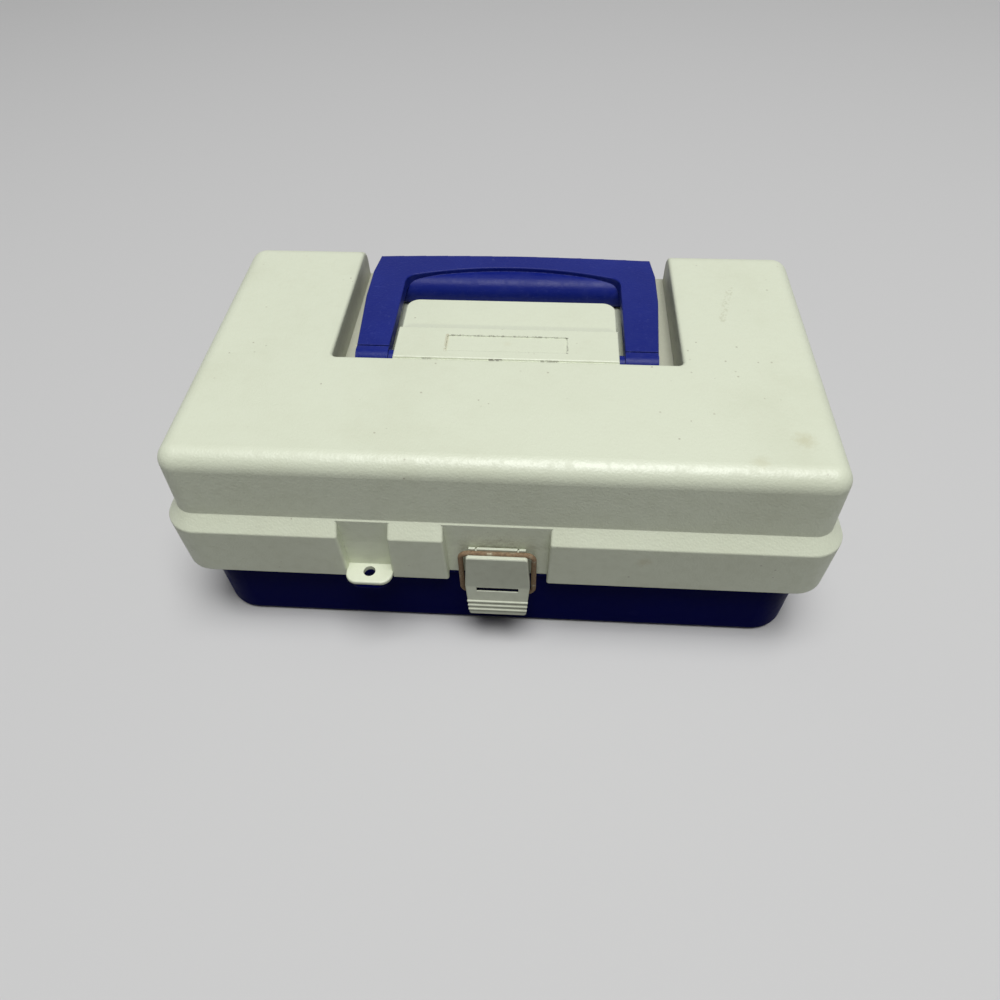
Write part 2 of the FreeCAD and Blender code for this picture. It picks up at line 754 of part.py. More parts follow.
block_outside = round_edges("BlockOutside", block_raw, "block_edge_round", lambda edge: (
    spans(edge, "Z", size("block_front_height"), FLAT)
    or spans(edge, "Z", size("block_rear_height"), FLAT)
    and edge.BoundBox.YMax > size("block_step_place") + FLAT
))
block_foot = wide_box(
    "BlockFoot", "block_width", "-recess_front - recess_edge_round",
    "lid_height - 2 * recess_edge_round",
    "recess_edge_round + block_edge_round", "2 * recess_edge_round - groove_depth"
)
block_inside = fuse("BlockInside", [
    wide_box(
        "BlockInsideFront", "block_inner_width", "-recess_front - 2 * lid_wall",
        "recess_underside - lid_wall",
        "recess_front + lid_wall + block_step_place", "block_front_height - recess_underside"
    ),
    wide_box(
        "BlockInsideRear", "block_inner_width", "block_step_place - 2 * lid_wall",
        "recess_underside - lid_wall",
        "block_rear_depth", "block_rear_height - recess_underside"
    ),
])
lid_with_block = fuse("LidWithBlock", [lid_softened, block_outside, block_foot])
label_field = round_edges(
    "LabelField",
    wide_box(
        "LabelFieldBox", "field_length", "-field_place - field_width / 2",
        "block_front_height - field_depth", "field_width", "field_depth + overrun"
    ),
    "field_corner", lambda edge: edge.BoundBox.ZLength > size("field_depth")
)

# Lid: hollow
lid_hollow_upper = drafted_slab(
    "LidHollowUpper", "lid_edge_height", "lid_height - lid_wall - lid_edge_height",
    "lid_edge_length - 2 * lid_wall", "lid_edge_width - 2 * lid_wall",
    "lid_edge_corner - lid_wall", "-lid_draft"
)
lid_hollow_rounded = round_edges(
    "LidHollowRounded", lid_hollow_upper, "lid_hollow_round",
    lambda edge: spans(edge, "Z", size("lid_height") - size("lid_wall"), FLAT)
)
recess_walls = cut(
    "RecessWalls",
    wide_box(
        "RecessWallsBox", "recess_width + 2 * lid_wall", "-recess_front - lid_wall", "recess_underside",
        "recess_reach", "lid_height - recess_underside + overrun"
    ),
    block_inside,
)
skirt_hollow = cut(
    "SkirtHollow",
    fuse("SkirtInside", [
        drafted_slab(
            "SkirtInsideWall", "skirt_top_height - ledge_drop",
            "skirt_top_height - ledge_drop - skirt_bottom_height + overrun",
            "skirt_length - 2 * lid_wall", "skirt_width - 2 * lid_wall",
            "skirt_corner - lid_wall", "-skirt_draft", downwards=True
        ),
        drafted_slab(
            "SkirtInsideLedge", "skirt_top_height - ledge_drop", "ledge_rise",
            "skirt_length - 2 * lid_wall", "skirt_width - 2 * lid_wall",
            "skirt_corner - lid_wall", "-ledge_slant"
        ),
    ]),
    notch_walls,
)
lid_hollow = cut("LidHollow", fuse("LidHollowFull", [lid_hollow_rounded, skirt_hollow]), recess_walls)


# Lid: hinge knuckles, tray hangers, catch and padlock tab
def lid_hinge(name, start):
    """Make a knuckle of the lid with the web that ties it to the skirt."""
    knuckle = cylinder_x(
        name + "Barrel", start, "hinge_place", "hinge_height", "hinge_radius", "hinge_lid_knuckle"
    )
    web = side_profile(
        name + "Web",
        [
            ("skirt_foot_place", "hinge_height"),
            ("hinge_place", "hinge_height"),
            ("hinge_place", "hinge_height + hinge_radius"),
            ("skirt_foot_place", "hinge_height + hinge_radius + hinge_web_rise"),
        ],
        start, "hinge_lid_knuckle"
    )
    return fuse(name, [knuckle, web])


knuckle_far = lid_hinge("KnuckleFar", "%s + hinge_base_knuckle / 2 + hinge_side_gap" % hinge_middle)
knuckle_near = lid_hinge(
    "KnuckleNear", "%s - hinge_base_knuckle / 2 - hinge_side_gap - hinge_lid_knuckle" % hinge_middle
)
hanger_eye = cylinder_x(
    "HangerEye", "hanger_face", "tray_rear_pivot_place", "tray_pivot_height",
    "hanger_width / 2", "arm_thickness"
)
hanger_strap = box(
    "HangerStrap", "hanger_face", "tray_rear_pivot_place - hanger_width / 2", "tray_pivot_height",
    "arm_thickness", "hanger_width", "hanger_top_height - tray_pivot_height"
)
hanger_root = common("HangerRoot", lid_outside, box(
    "HangerRootBlock", "hanger_face", "tray_rear_pivot_place - hanger_width / 2", "hanger_root_height",
    "skirt_length / 2 - hanger_face", "hanger_width", "hanger_top_height - hanger_root_height"
))
hanger_bore = cylinder_x(
    "HangerBore", "hanger_face - arm_thickness", "tray_rear_pivot_place", "tray_pivot_height",
    "rivet_radius + open_pivot_gap", "3 * arm_thickness"
)
hanger = cut("HangerRight", fuse("HangerSolid", [hanger_eye, hanger_strap, hanger_root]), hanger_bore)
lid_side_parts = fuse("LidSideParts", [knuckle_far, knuckle_near, hanger])
lid_side_parts_left = mirrored("LidSidePartsLeft", lid_side_parts)
catch = side_profile(
    "Catch",
    [
        ("-catch_reach", "catch_top"),
        ("-catch_root", "catch_top"),
        ("-catch_root", "catch_top - 2 * catch_thickness"),
        ("-catch_reach", "catch_top - catch_thickness"),
    ],
    "-catch_length / 2", "catch_length"
)
lid_tab = lock_tab("LidTab", "lid_edge_height", "lock_tab_width")
lid_solid = fuse("LidSolid", [lid_with_block, lid_tab])
lid_hollowed = cut("LidHollowed", lid_solid, fuse("LidHollows", [lid_hollow, label_field]))
lid_fitted = fuse("LidFitted", [lid_hollowed, lid_side_parts, lid_side_parts_left, catch])
lid_bores = fuse("LidBores", [
    cylinder_x(
        "LidPinBore", "-base_length / 2", "hinge_place", "hinge_height",
        "hinge_pin_radius + running_gap", "base_length"
    ),
    cylinder_x(
        "TrunnionBore", "-half_block - overrun", "-handle_pivot_place", "handle_pivot_height",
        "trunnion_radius + running_gap", "2 * half_block + 2 * overrun"
    ),
    lock_hole("LidLockHole", "lid_edge_height"),
])
lid_shell = cut("lid_shell", lid_fitted, lid_bores)

# Carrying handle: two legs and a deep grip across the back
handle_outline = common(
    "HandleOutline",
    plan_profile(
        "HandleSides",
        [
            ("-handle_front_width / 2", "-handle_pivot_place"),
            ("handle_front_width / 2", "-handle_pivot_place"),
            ("handle_middle_width / 2", "handle_middle_place"),
            ("handle_middle_width / 2", "handle_shoulder_place"),
            ("handle_back_width / 2", "handle_back_place"),
            ("handle_back_width / 2", "grip_back"),
            ("-handle_back_width / 2", "grip_back"),
            ("-handle_back_width / 2", "handle_back_place"),
            ("-handle_middle_width / 2", "handle_shoulder_place"),
            ("-handle_middle_width / 2", "handle_middle_place"),
        ],
        "grip_bottom", "handle_depth"
    ),
    cylinder_z("HandleBow", 0, "grip_back - bow_radius", "grip_bottom", "bow_radius", "handle_depth"),
)
plate_zone = wide_box(
    "PlateZone", "handle_middle_width + overrun", "-handle_pivot_place", "handle_underside",
    "handle_pivot_place + grip_back + overrun", "handle_plate"
)
grip_zone = wide_box(
    "GripZone", "handle_middle_width + overrun", "grip_front_place", "grip_bottom",
    "grip_back - grip_front_place", "grip_top - grip_bottom"
)
grip_topped = round_edges("GripTopped", grip_zone, "grip_round", lambda edge: (
    spans(edge, "Y", size("grip_front_place"), FLAT)
    and spans(edge, "Z", size("grip_top"), FLAT)
))
grip_roll = round_edges(
    "GripRoll", grip_topped, "grip_under_round",
    lambda edge: spans(edge, "Z", size("grip_bottom"), FLAT) and edge.BoundBox.YLength < FLAT
)


def with_rear_corners(name, tool):
    """Round the two upright rear corners of a window tool."""
    return round_edges(name, tool, "grip_corner", lambda edge: (
        edge.BoundBox.YLength < FLAT and edge.BoundBox.XLength < FLAT and edge.BoundBox.YMin > 0
    ))


handle_window = with_rear_corners("HandleWindow", common(
    "WindowSharp",
    wide_box(
        "WindowStrip", "handle_inner_width", "-handle_pivot_place - overrun",
        "handle_underside - overrun",
        "handle_pivot_place + overrun + grip_back", "handle_plate + 2 * overrun"
    ),
    cylinder_z(
        "WindowArch", 0, "grip_arch_place - arch_radius", "handle_underside - overrun",
        "arch_radius", "handle_plate + 2 * overrun"
    ),
))
handle_plate = cut("HandlePlate", common("HandlePlateFull", handle_outline, plate_zone), handle_window)
handle_sharp = fuse("HandleSharp", [handle_plate, common("HandleGrip", handle_outline, grip_roll)])
handle_frame = round_edges("HandleFrame", handle_sharp, "handle_edge_round", lambda edge: (
    spans(edge, "Z", size("handle_top"), FLAT) and edge.BoundBox.YMax > -size("handle_pivot_place") + FLAT
))
handle_knuckle_right = cylinder_x(
    "HandleKnuckleRight", "half_handle_inner", "-handle_pivot_place", "handle_pivot_height",
    "handle_knuckle_radius", "handle_front_width / 2 - half_handle_inner"
)
handle_hub_right = cylinder_x(
    "HandleHubRight", "half_block + hub_gap", "-handle_pivot_place", "handle_pivot_height",
    "hub_radius", "half_handle_inner - half_block - hub_gap + trunnion_grip"
)
handle_trunnion_right = cylinder_x(
    "HandleTrunnionRight", "half_block - trunnion_grip", "-handle_pivot_place", "handle_pivot_height",
    "trunnion_radius", "half_handle_inner - half_block + 2 * trunnion_grip"
)
handle_end_right = fuse("HandleEndRight", [handle_knuckle_right, handle_hub_right, handle_trunnion_right])
handle_end_left = mirrored("HandleEndLeft", handle_end_right)
handle_grooves = wide_box(
    "HandleGrooves", "handle_middle_width + overrun", "-handle_groove_place - handle_groove / 2",
    "handle_top - handle_groove", "handle_groove", "handle_groove + overrun"
)
handle_joined = fuse("HandleJoined", [handle_frame, handle_end_right, handle_end_left])
handle = cut("handle", handle_joined, handle_grooves)

# Latch bail: a wire whose feet turn inwards into the lugs of the base
bend_centre = "bail_width / 2 - bail_bend"


def bail_corner(name, height, degrees):
    """Make one quarter bend of the wire."""
    bend = document.addObject("Part::Torus", name)
    turn(bend, FreeCAD.Vector(1, 0, 0), degrees)
    place(bend, bend_centre, "-bail_place", height)
    bind(bend, "Radius1", "bail_bend")
    bind(bend, "Radius2", "bail_wire_radius")
    bend.Angle3 = 90
    return bend


bail_half = fuse("BailHalf", [
    cylinder_x("BailCross", 0, "-bail_place", "bail_top_height", "bail_wire_radius", bend_centre),
    bail_corner("BailTopBend", "bail_top_height - bail_bend", 90),
    cylinder_z(
        "BailLeg", "bail_width / 2", "-bail_place", "bail_foot_height + bail_bend",
        "bail_wire_radius", "bail_top_height - bail_foot_height - 2 * bail_bend"
    ),
    bail_corner("BailFootBend", "bail_foot_height + bail_bend", -90),
    cylinder_x(
        "BailFoot", "bail_width / 2 - bail_foot_reach", "-bail_place", "bail_foot_height",
        "bail_wire_radius", "bail_foot_reach - bail_bend"
    ),
])
latch_bail = fuse("latch_bail", [bail_half, mirrored("BailOtherHalf", bail_half)])

# Latch lever: it turns on the cross bar of the bail and hooks over the catch of the lid
lever_outline_sharp = front_profile(
    "LeverOutlineSharp",
    [
        ("-lever_bottom_width / 2", "lever_bottom_height"),
        ("lever_bottom_width / 2", "lever_bottom_height"),
        ("lever_crease_width / 2", "lever_crease_height"),
        ("lever_top_width / 2", "lever_plate_top"),
        ("-lever_top_width / 2", "lever_plate_top"),
        ("-lever_crease_width / 2", "lever_crease_height"),
    ],
    "half_base_width", "overrun"
)
lever_outline = round_edges(
    "LeverOutline", lever_outline_sharp, "lever_corner",
    lambda edge: (
        spans(edge, "Z", size("lever_bottom_height"), FLAT) and edge.BoundBox.XLength < FLAT
        or spans(edge, "Z", size("lever_plate_top"), FLAT) and edge.BoundBox.XLength < FLAT
    )
)
lever_bent_plate = side_profile(
    "LeverBentPlate",
    [
        ("-lever_front", "lever_plate_top"),
        ("-lever_front - lever_lean", "lever_crease_height"),
        ("-lever_front - lever_lean - lever_flare", "lever_bottom_height"),
        ("lever_plate - lever_front - lever_lean - lever_flare", "lever_bottom_height"),
        ("lever_plate - lever_front - lever_lean", "lever_crease_height"),
        ("lever_plate - lever_front", "lever_plate_top"),
    ],
    "-lever_crease_width / 2", "lever_crease_width"
)
lever_flange_zone = wide_box(
    "LeverFlangeZone", "lever_crease_width", "-lever_front", "lever_crease_height - lever_plate",
    "lever_flange", "lever_plate_top - lever_head_radius - lever_crease_height + lever_plate"
)
lever_flange_gap = wide_box(
    "LeverFlangeGap", "lever_top_width - 2 * lever_plate", "lever_plate / 2 - lever_front",
    "lever_crease_height - overrun", "lever_flange + overrun", "2 * overrun"
)
lever_folded = fuse("LeverFolded", [
    lever_bent_plate, cut("LeverFlanges", lever_flange_zone, lever_flange_gap)
])
lever_sheet = round_edges(
    "LeverSheet", common("LeverSheetSharp", lever_folded, lever_outline), "lever_edge_round",
    lambda edge: (
        edge.BoundBox.YMin < -size("lever_front") - FLAT
        and edge.BoundBox.YMax < -size("lever_front") + FLAT
        and abs(edge.CenterOfMass.x) > size("lever_bottom_width") / 2
        and edge.BoundBox.ZLength > size("lever_plate")
    )
)
lever_head = cut(
    "LeverHead",
    cylinder_x(
        "LeverBarrel", "-lever_head_length / 2", "-bail_place", "bail_top_height",
        "lever_head_radius", "lever_head_length"
    ),
    fuse("LeverHeadCuts", [
        wide_box(
            "LeverFrontCut", "lever_crease_width", "-bail_place - lever_head_radius - lever_plate",
            "lever_plate_top", "lever_head_radius + lever_plate", "overrun"
        ),
        wide_box(
            "LeverBackCut", "lever_crease_width", "-bail_place", "bail_top_height + lever_back_rise",
            "overrun", "overrun"
        ),
    ]),
)
LEVER_RIB_COUNT = 3
lever_ribs = []
for number in range(LEVER_RIB_COUNT):
    rib_height = "lever_rib_height - %d * lever_rib_pitch" % number
    rib_place = (
        "-lever_front - lever_lean - lever_flare * (lever_crease_height - (%s))"
        " / (lever_crease_height - lever_bottom_height)" % rib_height
    )
    lever_ribs.append(cylinder_x(
        "LeverRib%d" % (number + 1), "-lever_crease_width / 2", rib_place, rib_height,
        "lever_rib_radius", "lever_crease_width"
    ))
lever_ribs_trimmed = common("LeverRibsTrimmed", fuse("LeverRibs", lever_ribs), lever_outline)
wire_seat = fuse("WireSeat", [
    cylinder_x(
        "WireBore", "-lever_crease_width / 2", "-bail_place", "bail_top_height",
        "bail_wire_radius + running_gap", "lever_crease_width"
    ),
    wide_box(
        "WireSlot", "lever_crease_width", "-bail_place - bail_wire_radius - running_gap", "bail_top_height",
        "2 * bail_wire_radius + 2 * running_gap", "overrun"
    ),
])
lever_slot = fuse("LeverSlot", [
    wide_box(
        "LeverSlotFront", "lever_slot_length", "-lever_front - overrun / 2",
        "lever_slot_bottom", "overrun", "lever_slot_width"
    ),
    side_profile(
        "LeverSlotFall",
        [
            ("-lever_front - lever_lean", "lever_slot_bottom"),
            ("lever_plate - lever_front", "lever_slot_bottom - lever_slot_fall"),
            ("lever_plate - lever_front", "lever_slot_bottom + lever_slot_width"),
            ("-lever_front - lever_lean", "lever_slot_bottom + lever_slot_width"),
        ],
        "-lever_slot_length / 2", "lever_slot_length"
    ),
])
lever_nick = box(
    "LeverNick", "lever_head_length / 2 - lever_nick_inset - lever_nick_width", "-bail_place",
    "bail_top_height", "lever_nick_width", "overrun", "overrun"
)
latch_lever = cut(
    "latch_lever",
    fuse("LeverSolid", [lever_sheet, lever_head, lever_ribs_trimmed]),
    fuse("LeverCuts", [wire_seat, lever_slot, lever_nick, mirrored("LeverNickLeft", lever_nick)]),
)

# Hinge pins
pin_start = "%s - hinge_base_knuckle / 2 - 2 * hinge_side_gap - hinge_lid_knuckle" % hinge_middle
pin_length = "hinge_base_knuckle + 2 * hinge_lid_knuckle + 4 * hinge_side_gap"
hinge_pin_right = fuse("hinge_pin_right", [
    cylinder_x("PinShank", pin_start, "hinge_place", "hinge_height", "hinge_pin_radius", pin_length),
    cylinder_x(
        "PinHead", "%s + %s" % (pin_start, pin_length), "hinge_place", "hinge_height",
        "pin_head_radius", "rivet_head"
    ),
])
hinge_pin_left = mirrored("hinge_pin_left", hinge_pin_right)

# Tray with two rows of compartments and its loose dividers
tray_width = "tray_front_place + tray_back_place"
tray_solid = drafted_slab(
    "TraySolid", "tray_bottom_height", "tray_depth", "tray_length", tray_width, "tray_corner", 0
)
place(tray_solid, 0, "row_wall_place")
tray_rounded = round_edges(
    "TrayRounded", tray_solid, "tray_wall", lambda edge: spans(edge, "Z", size("tray_bottom_height"), FLAT)
)
tray_hollow = drafted_slab(
    "TrayHollow", "tray_floor", "tray_depth + overrun", "tray_length - 2 * tray_wall",
    "%s - 2 * tray_wall" % tray_width, "tray_corner - tray_wall", 0
)
place(tray_hollow, 0, "row_wall_place")
tray_open = cut("TrayOpen", tray_rounded, tray_hollow)
row_wall = wide_box(
    "RowWall", "tray_length - tray_wall", "row_wall_place - tray_wall / 2",
    "tray_bottom_height + tray_wall / 2", "tray_wall", "tray_depth - tray_wall / 2"
)
DIVIDER_PLACES = ("-divider_pitch", "0", "divider_pitch")
ROWS = (
    ("tray_wall - tray_front_place", "row_wall_place - tray_wall / 2"),
    ("row_wall_place + tray_wall / 2", "tray_back_place - tray_wall"),
)
rib_shift = "divider_thickness / 2 + divider_gap"
tray_ribs = []
dividers = []
for row, (row_front, row_back) in enumerate(ROWS):
    for column, middle in enumerate(DIVIDER_PLACES):
        number = len(DIVIDER_PLACES) * row + column + 1
        for end, (rib_y, rib_reach) in enumerate((
            ("%s - tray_wall / 2" % row_front, "divider_rib + tray_wall / 2"),
            ("%s - divider_rib" % row_back, "divider_rib + tray_wall / 2"),
        )):
            for side, rib_x in enumerate((
                "%s - (%s) - rib_thickness" % (middle, rib_shift),
                "%s + %s" % (middle, rib_shift),
            )):
                tray_ribs.append(box(
                    "Rib%d%d%d" % (number, end, side), rib_x, rib_y, "tray_floor - tray_wall / 2",
                    "rib_thickness", rib_reach, "tray_depth - tray_wall / 2 - divider_drop"
                ))
        dividers.append(box(
            "tray_divider_%d" % number,
            "%s - divider_thickness / 2" % middle, "%s + divider_gap" % row_front,
            "tray_floor + running_gap", "divider_thickness",
            "%s - (%s) - 2 * divider_gap" % (row_back, row_front), "divider_height"
        ))
tray_bores = fuse("TrayBores", [
    cylinder_x(
        name, "-tray_length / 2 - overrun", place_y, "tray_pivot_height",
        "rivet_radius", "tray_length + 2 * overrun"
    )
    for name, place_y in (("FrontBore", "-tray_front_pivot_place"), ("RearBore", "tray_rear_pivot_place"))
])
tray = cut("tray", fuse("TrayWalls", [tray_open, row_wall] + tray_ribs), tray_bores)

# Tray arms, as long as the hinge is far from the rear pivots of the tray
arm_blank = fuse("ArmBlank", [
    cylinder_x(
        "ArmLowEye", "hanger_face", "base_pivot_place", "base_pivot_height",
        "arm_width / 2", "arm_thickness"
    ),
    cylinder_x(
        "ArmHighEye", "hanger_face", "-tray_front_pivot_place", "tray_pivot_height",
        "arm_width / 2", "arm_thickness"
    ),
    side_profile(
        "ArmBar",
        [
            ("base_pivot_place + arm_shift_y", "base_pivot_height + arm_shift_z"),
            ("arm_shift_y - tray_front_pivot_place", "tray_pivot_height + arm_shift_z"),
            ("-arm_shift_y - tray_front_pivot_place", "tray_pivot_height - arm_shift_z"),
            ("base_pivot_place - arm_shift_y", "base_pivot_height - arm_shift_z"),
        ],
        "hanger_face", "arm_thickness"
    ),
])


def arm_bores(name, high_gap):
    """Make the two bores of an arm, with a chosen gap at the tray."""
    low = cylinder_x(
        name + "Low", "hanger_face - arm_thickness", "base_pivot_place", "base_pivot_height",
        "rivet_radius + running_gap", "3 * arm_thickness"
    )
    high = cylinder_x(
        name + "High", "hanger_face - arm_thickness", "-tray_front_pivot_place", "tray_pivot_height",
        "rivet_radius + %s" % high_gap, "3 * arm_thickness"
    )
    return fuse(name, [low, high])


tray_arm_right = cut("tray_arm_right", arm_blank, arm_bores("OpenArmBores", "open_pivot_gap"))
arm_twin = cut("ArmTwin", arm_blank, arm_bores("CloseArmBores", "running_gap"))
tray_arm_left = mirrored("tray_arm_left", arm_twin)


# Rivets of the tray and of its arms
def rivet(name, start, stop, y, z, far_head):
    """Make a rivet along X with a head before start and, if wanted, one after stop."""
    pieces = [
        cylinder_x(name + "Shank", start, y, z, "rivet_radius", "%s - (%s)" % (stop, start)),
        cylinder_x(name + "Head", "%s - rivet_head" % start, y, z, "rivet_head_radius", "rivet_head"),
    ]
    if far_head:
        pieces.append(cylinder_x(name + "FarHead", stop, y, z, "rivet_head_radius", "rivet_head"))
    return fuse(name, pieces)


RIVETS = (
    ("base_rivet", "hanger_face - running_gap", "boss_face + rivet_seat - running_gap",
     "base_pivot_place", "base_pivot_height", False),
    ("arm_rivet", "tray_length / 2 - tray_wall", "arm_face + running_gap",
     "-tray_front_pivot_place", "tray_pivot_height", True),
    ("lid_rivet", "tray_length / 2 - tray_wall", "arm_face + running_gap",
     "tray_rear_pivot_place", "tray_pivot_height", True),
)
rivets = []
for name, start, stop, y, z, far_head in RIVETS:
    right_rivet = rivet(name + "_right", start, stop, y, z, far_head)
    rivets += [right_rivet, mirrored(name + "_left", right_rivet)]

# Check every object, then export one file for each piece
document.recompute()
for item in document.Objects:
    if "Invalid" in item.State or "Error" in item.State:
        raise RuntimeError("%s failed to recompute" % item.Label)
NODES = [
    base_shell, lid_shell, handle, latch_lever, latch_bail, hinge_pin_left, hinge_pin_right,
    tray, tray_arm_left, tray_arm_right,
] + dividers + rivets
os.makedirs("parts", exist_ok=True)
for node in NODES:
    if node.Shape.isNull() or not node.Shape.isValid():
        raise RuntimeError("%s has no valid shape" % node.Label)
    node.Shape.exportStep("parts/%s.step" % node.Label)
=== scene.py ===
"""Looks of a small one-tray tackle box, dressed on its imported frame."""

import logging
import math
from dataclasses import dataclass
from enum import Enum
from typing import Optional, Sequence, Union

import bpy
from mathutils import Matrix, Vector

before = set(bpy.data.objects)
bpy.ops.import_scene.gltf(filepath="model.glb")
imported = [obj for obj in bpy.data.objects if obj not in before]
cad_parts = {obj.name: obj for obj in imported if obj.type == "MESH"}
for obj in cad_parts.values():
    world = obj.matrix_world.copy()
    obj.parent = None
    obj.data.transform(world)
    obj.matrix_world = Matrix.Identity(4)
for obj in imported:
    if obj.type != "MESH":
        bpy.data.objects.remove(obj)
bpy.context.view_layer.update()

LOG = logging.getLogger("tackle_box")
MM = 0.001
BEVEL_SAMPLES = 4
DIVIDER_COUNT = 6

Colour = tuple[float, float, float]
Point = tuple[float, float, float]
Source = Union[bpy.types.NodeSocket, float, Sequence[float]]

# Sockets of a Mix node that mixes colours
MIX_SHARE, MIX_UNDER, MIX_OVER, MIX_RESULT = 0, 6, 7, 2


class Sum(Enum):
    """The arithmetic that a Math node does."""

    ADD = "ADD"
    SUBTRACT = "SUBTRACT"
    MULTIPLY = "MULTIPLY"
    DIVIDE = "DIVIDE"
    MAXIMUM = "MAXIMUM"


class PointSum(Enum):
    """The arithmetic that a Vector Math node does."""

    SUBTRACT = "SUBTRACT"
    DISTANCE = "DISTANCE"
    DOT = "DOT_PRODUCT"


@dataclass
class Graph:
    """A small writer for one node tree.

    Args:
        tree: The node tree that the nodes go into.
    """

    tree: bpy.types.NodeTree

    def put(self, socket: bpy.types.NodeSocket, source: Source) -> None:
        """Feed an input from another socket, or set its own value.

        Args:
            socket: The input to feed.
            source: A socket to link, or a plain value.
        """
        if isinstance(source, bpy.types.NodeSocket):
            self.tree.links.new(source, socket)
        elif isinstance(source, (tuple, list, Vector)) and len(source) == 3 and socket.type == "RGBA":
            socket.default_value = (*source, 1.0)
        else:
            socket.default_value = source

    def node(
        self, kind: str, inputs: Optional[dict[Union[str, int], Source]] = None, **settings: object
    ) -> bpy.types.Node:
        """Add a node, with its settings and its inputs.

        Args:
            kind: The node's type name.
            inputs: Input names or numbers and what feeds them.
            **settings: Properties of the node.

        Returns:
            The new node.
        """
        made = self.tree.nodes.new(kind)
        for name, value in settings.items():
            setattr(made, name, value)
        for name, source in (inputs or {}).items():
            self.put(made.inputs[name], source)
        return made

    def place(self) -> bpy.types.NodeSocket:
        """Give the point on the piece, in metres."""
        return self.node("ShaderNodeTexCoord").outputs["Object"]

    def sum(self, kind: Sum, first: Source, second: Source, clamp: bool = False) -> bpy.types.NodeSocket:
        """Give the result of one sum of two values."""
        made = self.node("ShaderNodeMath", {0: first, 1: second}, operation=kind.value, use_clamp=clamp)
        return made.outputs[0]

    def point_sum(self, kind: PointSum, first: Source, second: Source) -> bpy.types.NodeSocket:
        """Give the result of one sum of two points, which is a plain value for all but SUBTRACT."""
        made = self.node("ShaderNodeVectorMath", {0: first, 1: second}, operation=kind.value)
        return made.outputs["Vector" if kind is PointSum.SUBTRACT else "Value"]

    def scaled(self, point: Source, scale: Source) -> bpy.types.NodeSocket:
        """Give a point multiplied by a scale."""
        return self.node("ShaderNodeVectorMath", {0: point, "Scale": scale}, operation="SCALE").outputs[0]

    def noise(
        self, at: Source, scale: float, detail: float = 3.0, roughness: float = 0.5
    ) -> bpy.types.NodeSocket:
        """Give a smooth noise value from 0 to 1."""
        inputs = {"Vector": at, "Scale": scale, "Detail": detail, "Roughness": roughness}
        return self.node("ShaderNodeTexNoise", inputs).outputs[0]

    def step(
        self, value: Source, low: float, high: float, start: float = 0.0, end: float = 1.0
    ) -> bpy.types.NodeSocket:
        """Spread the values between low and high from start to end.

        Args:
            value: The value to spread.
            low: The value that becomes start.
            high: The value that becomes end.
            start: The lowest result.
            end: The highest result.

        Returns:
            The spread value.
        """
        made = self.node(
            "ShaderNodeMapRange",
            {"Value": value, "From Min": low, "From Max": high, "To Min": start, "To Max": end},
            interpolation_type="SMOOTHSTEP",
        )
        return made.outputs["Result"]

    def colour(self, share: Source, under: Source, over: Source) -> bpy.types.NodeSocket:
        """Lay one colour over another.

        Args:
            share: How much of the upper colour shows, from 0 to 1.
            under: The lower colour.
            over: The upper colour.

        Returns:
            The joined colour.
        """
        made = self.node("ShaderNodeMix", data_type="RGBA", blend_type="MIX")
        sources = {MIX_SHARE: share, MIX_UNDER: under, MIX_OVER: over}
        for number, source in sources.items():
            self.put(made.inputs[number], source)
        return made.outputs[MIX_RESULT]

    def faded(self, mask: Source, strength: float, under: Source, over: Source) -> bpy.types.NodeSocket:
        """Lay one colour over another where a mask shows, and only as strongly as said."""
        return self.colour(self.sum(Sum.MULTIPLY, mask, strength), under, over)

    def group(self, effect: bpy.types.NodeTree, inputs: dict[str, Source]) -> bpy.types.Node:
        """Place a shared effect with its own values."""
        return self.node("ShaderNodeGroup", inputs, node_tree=effect)


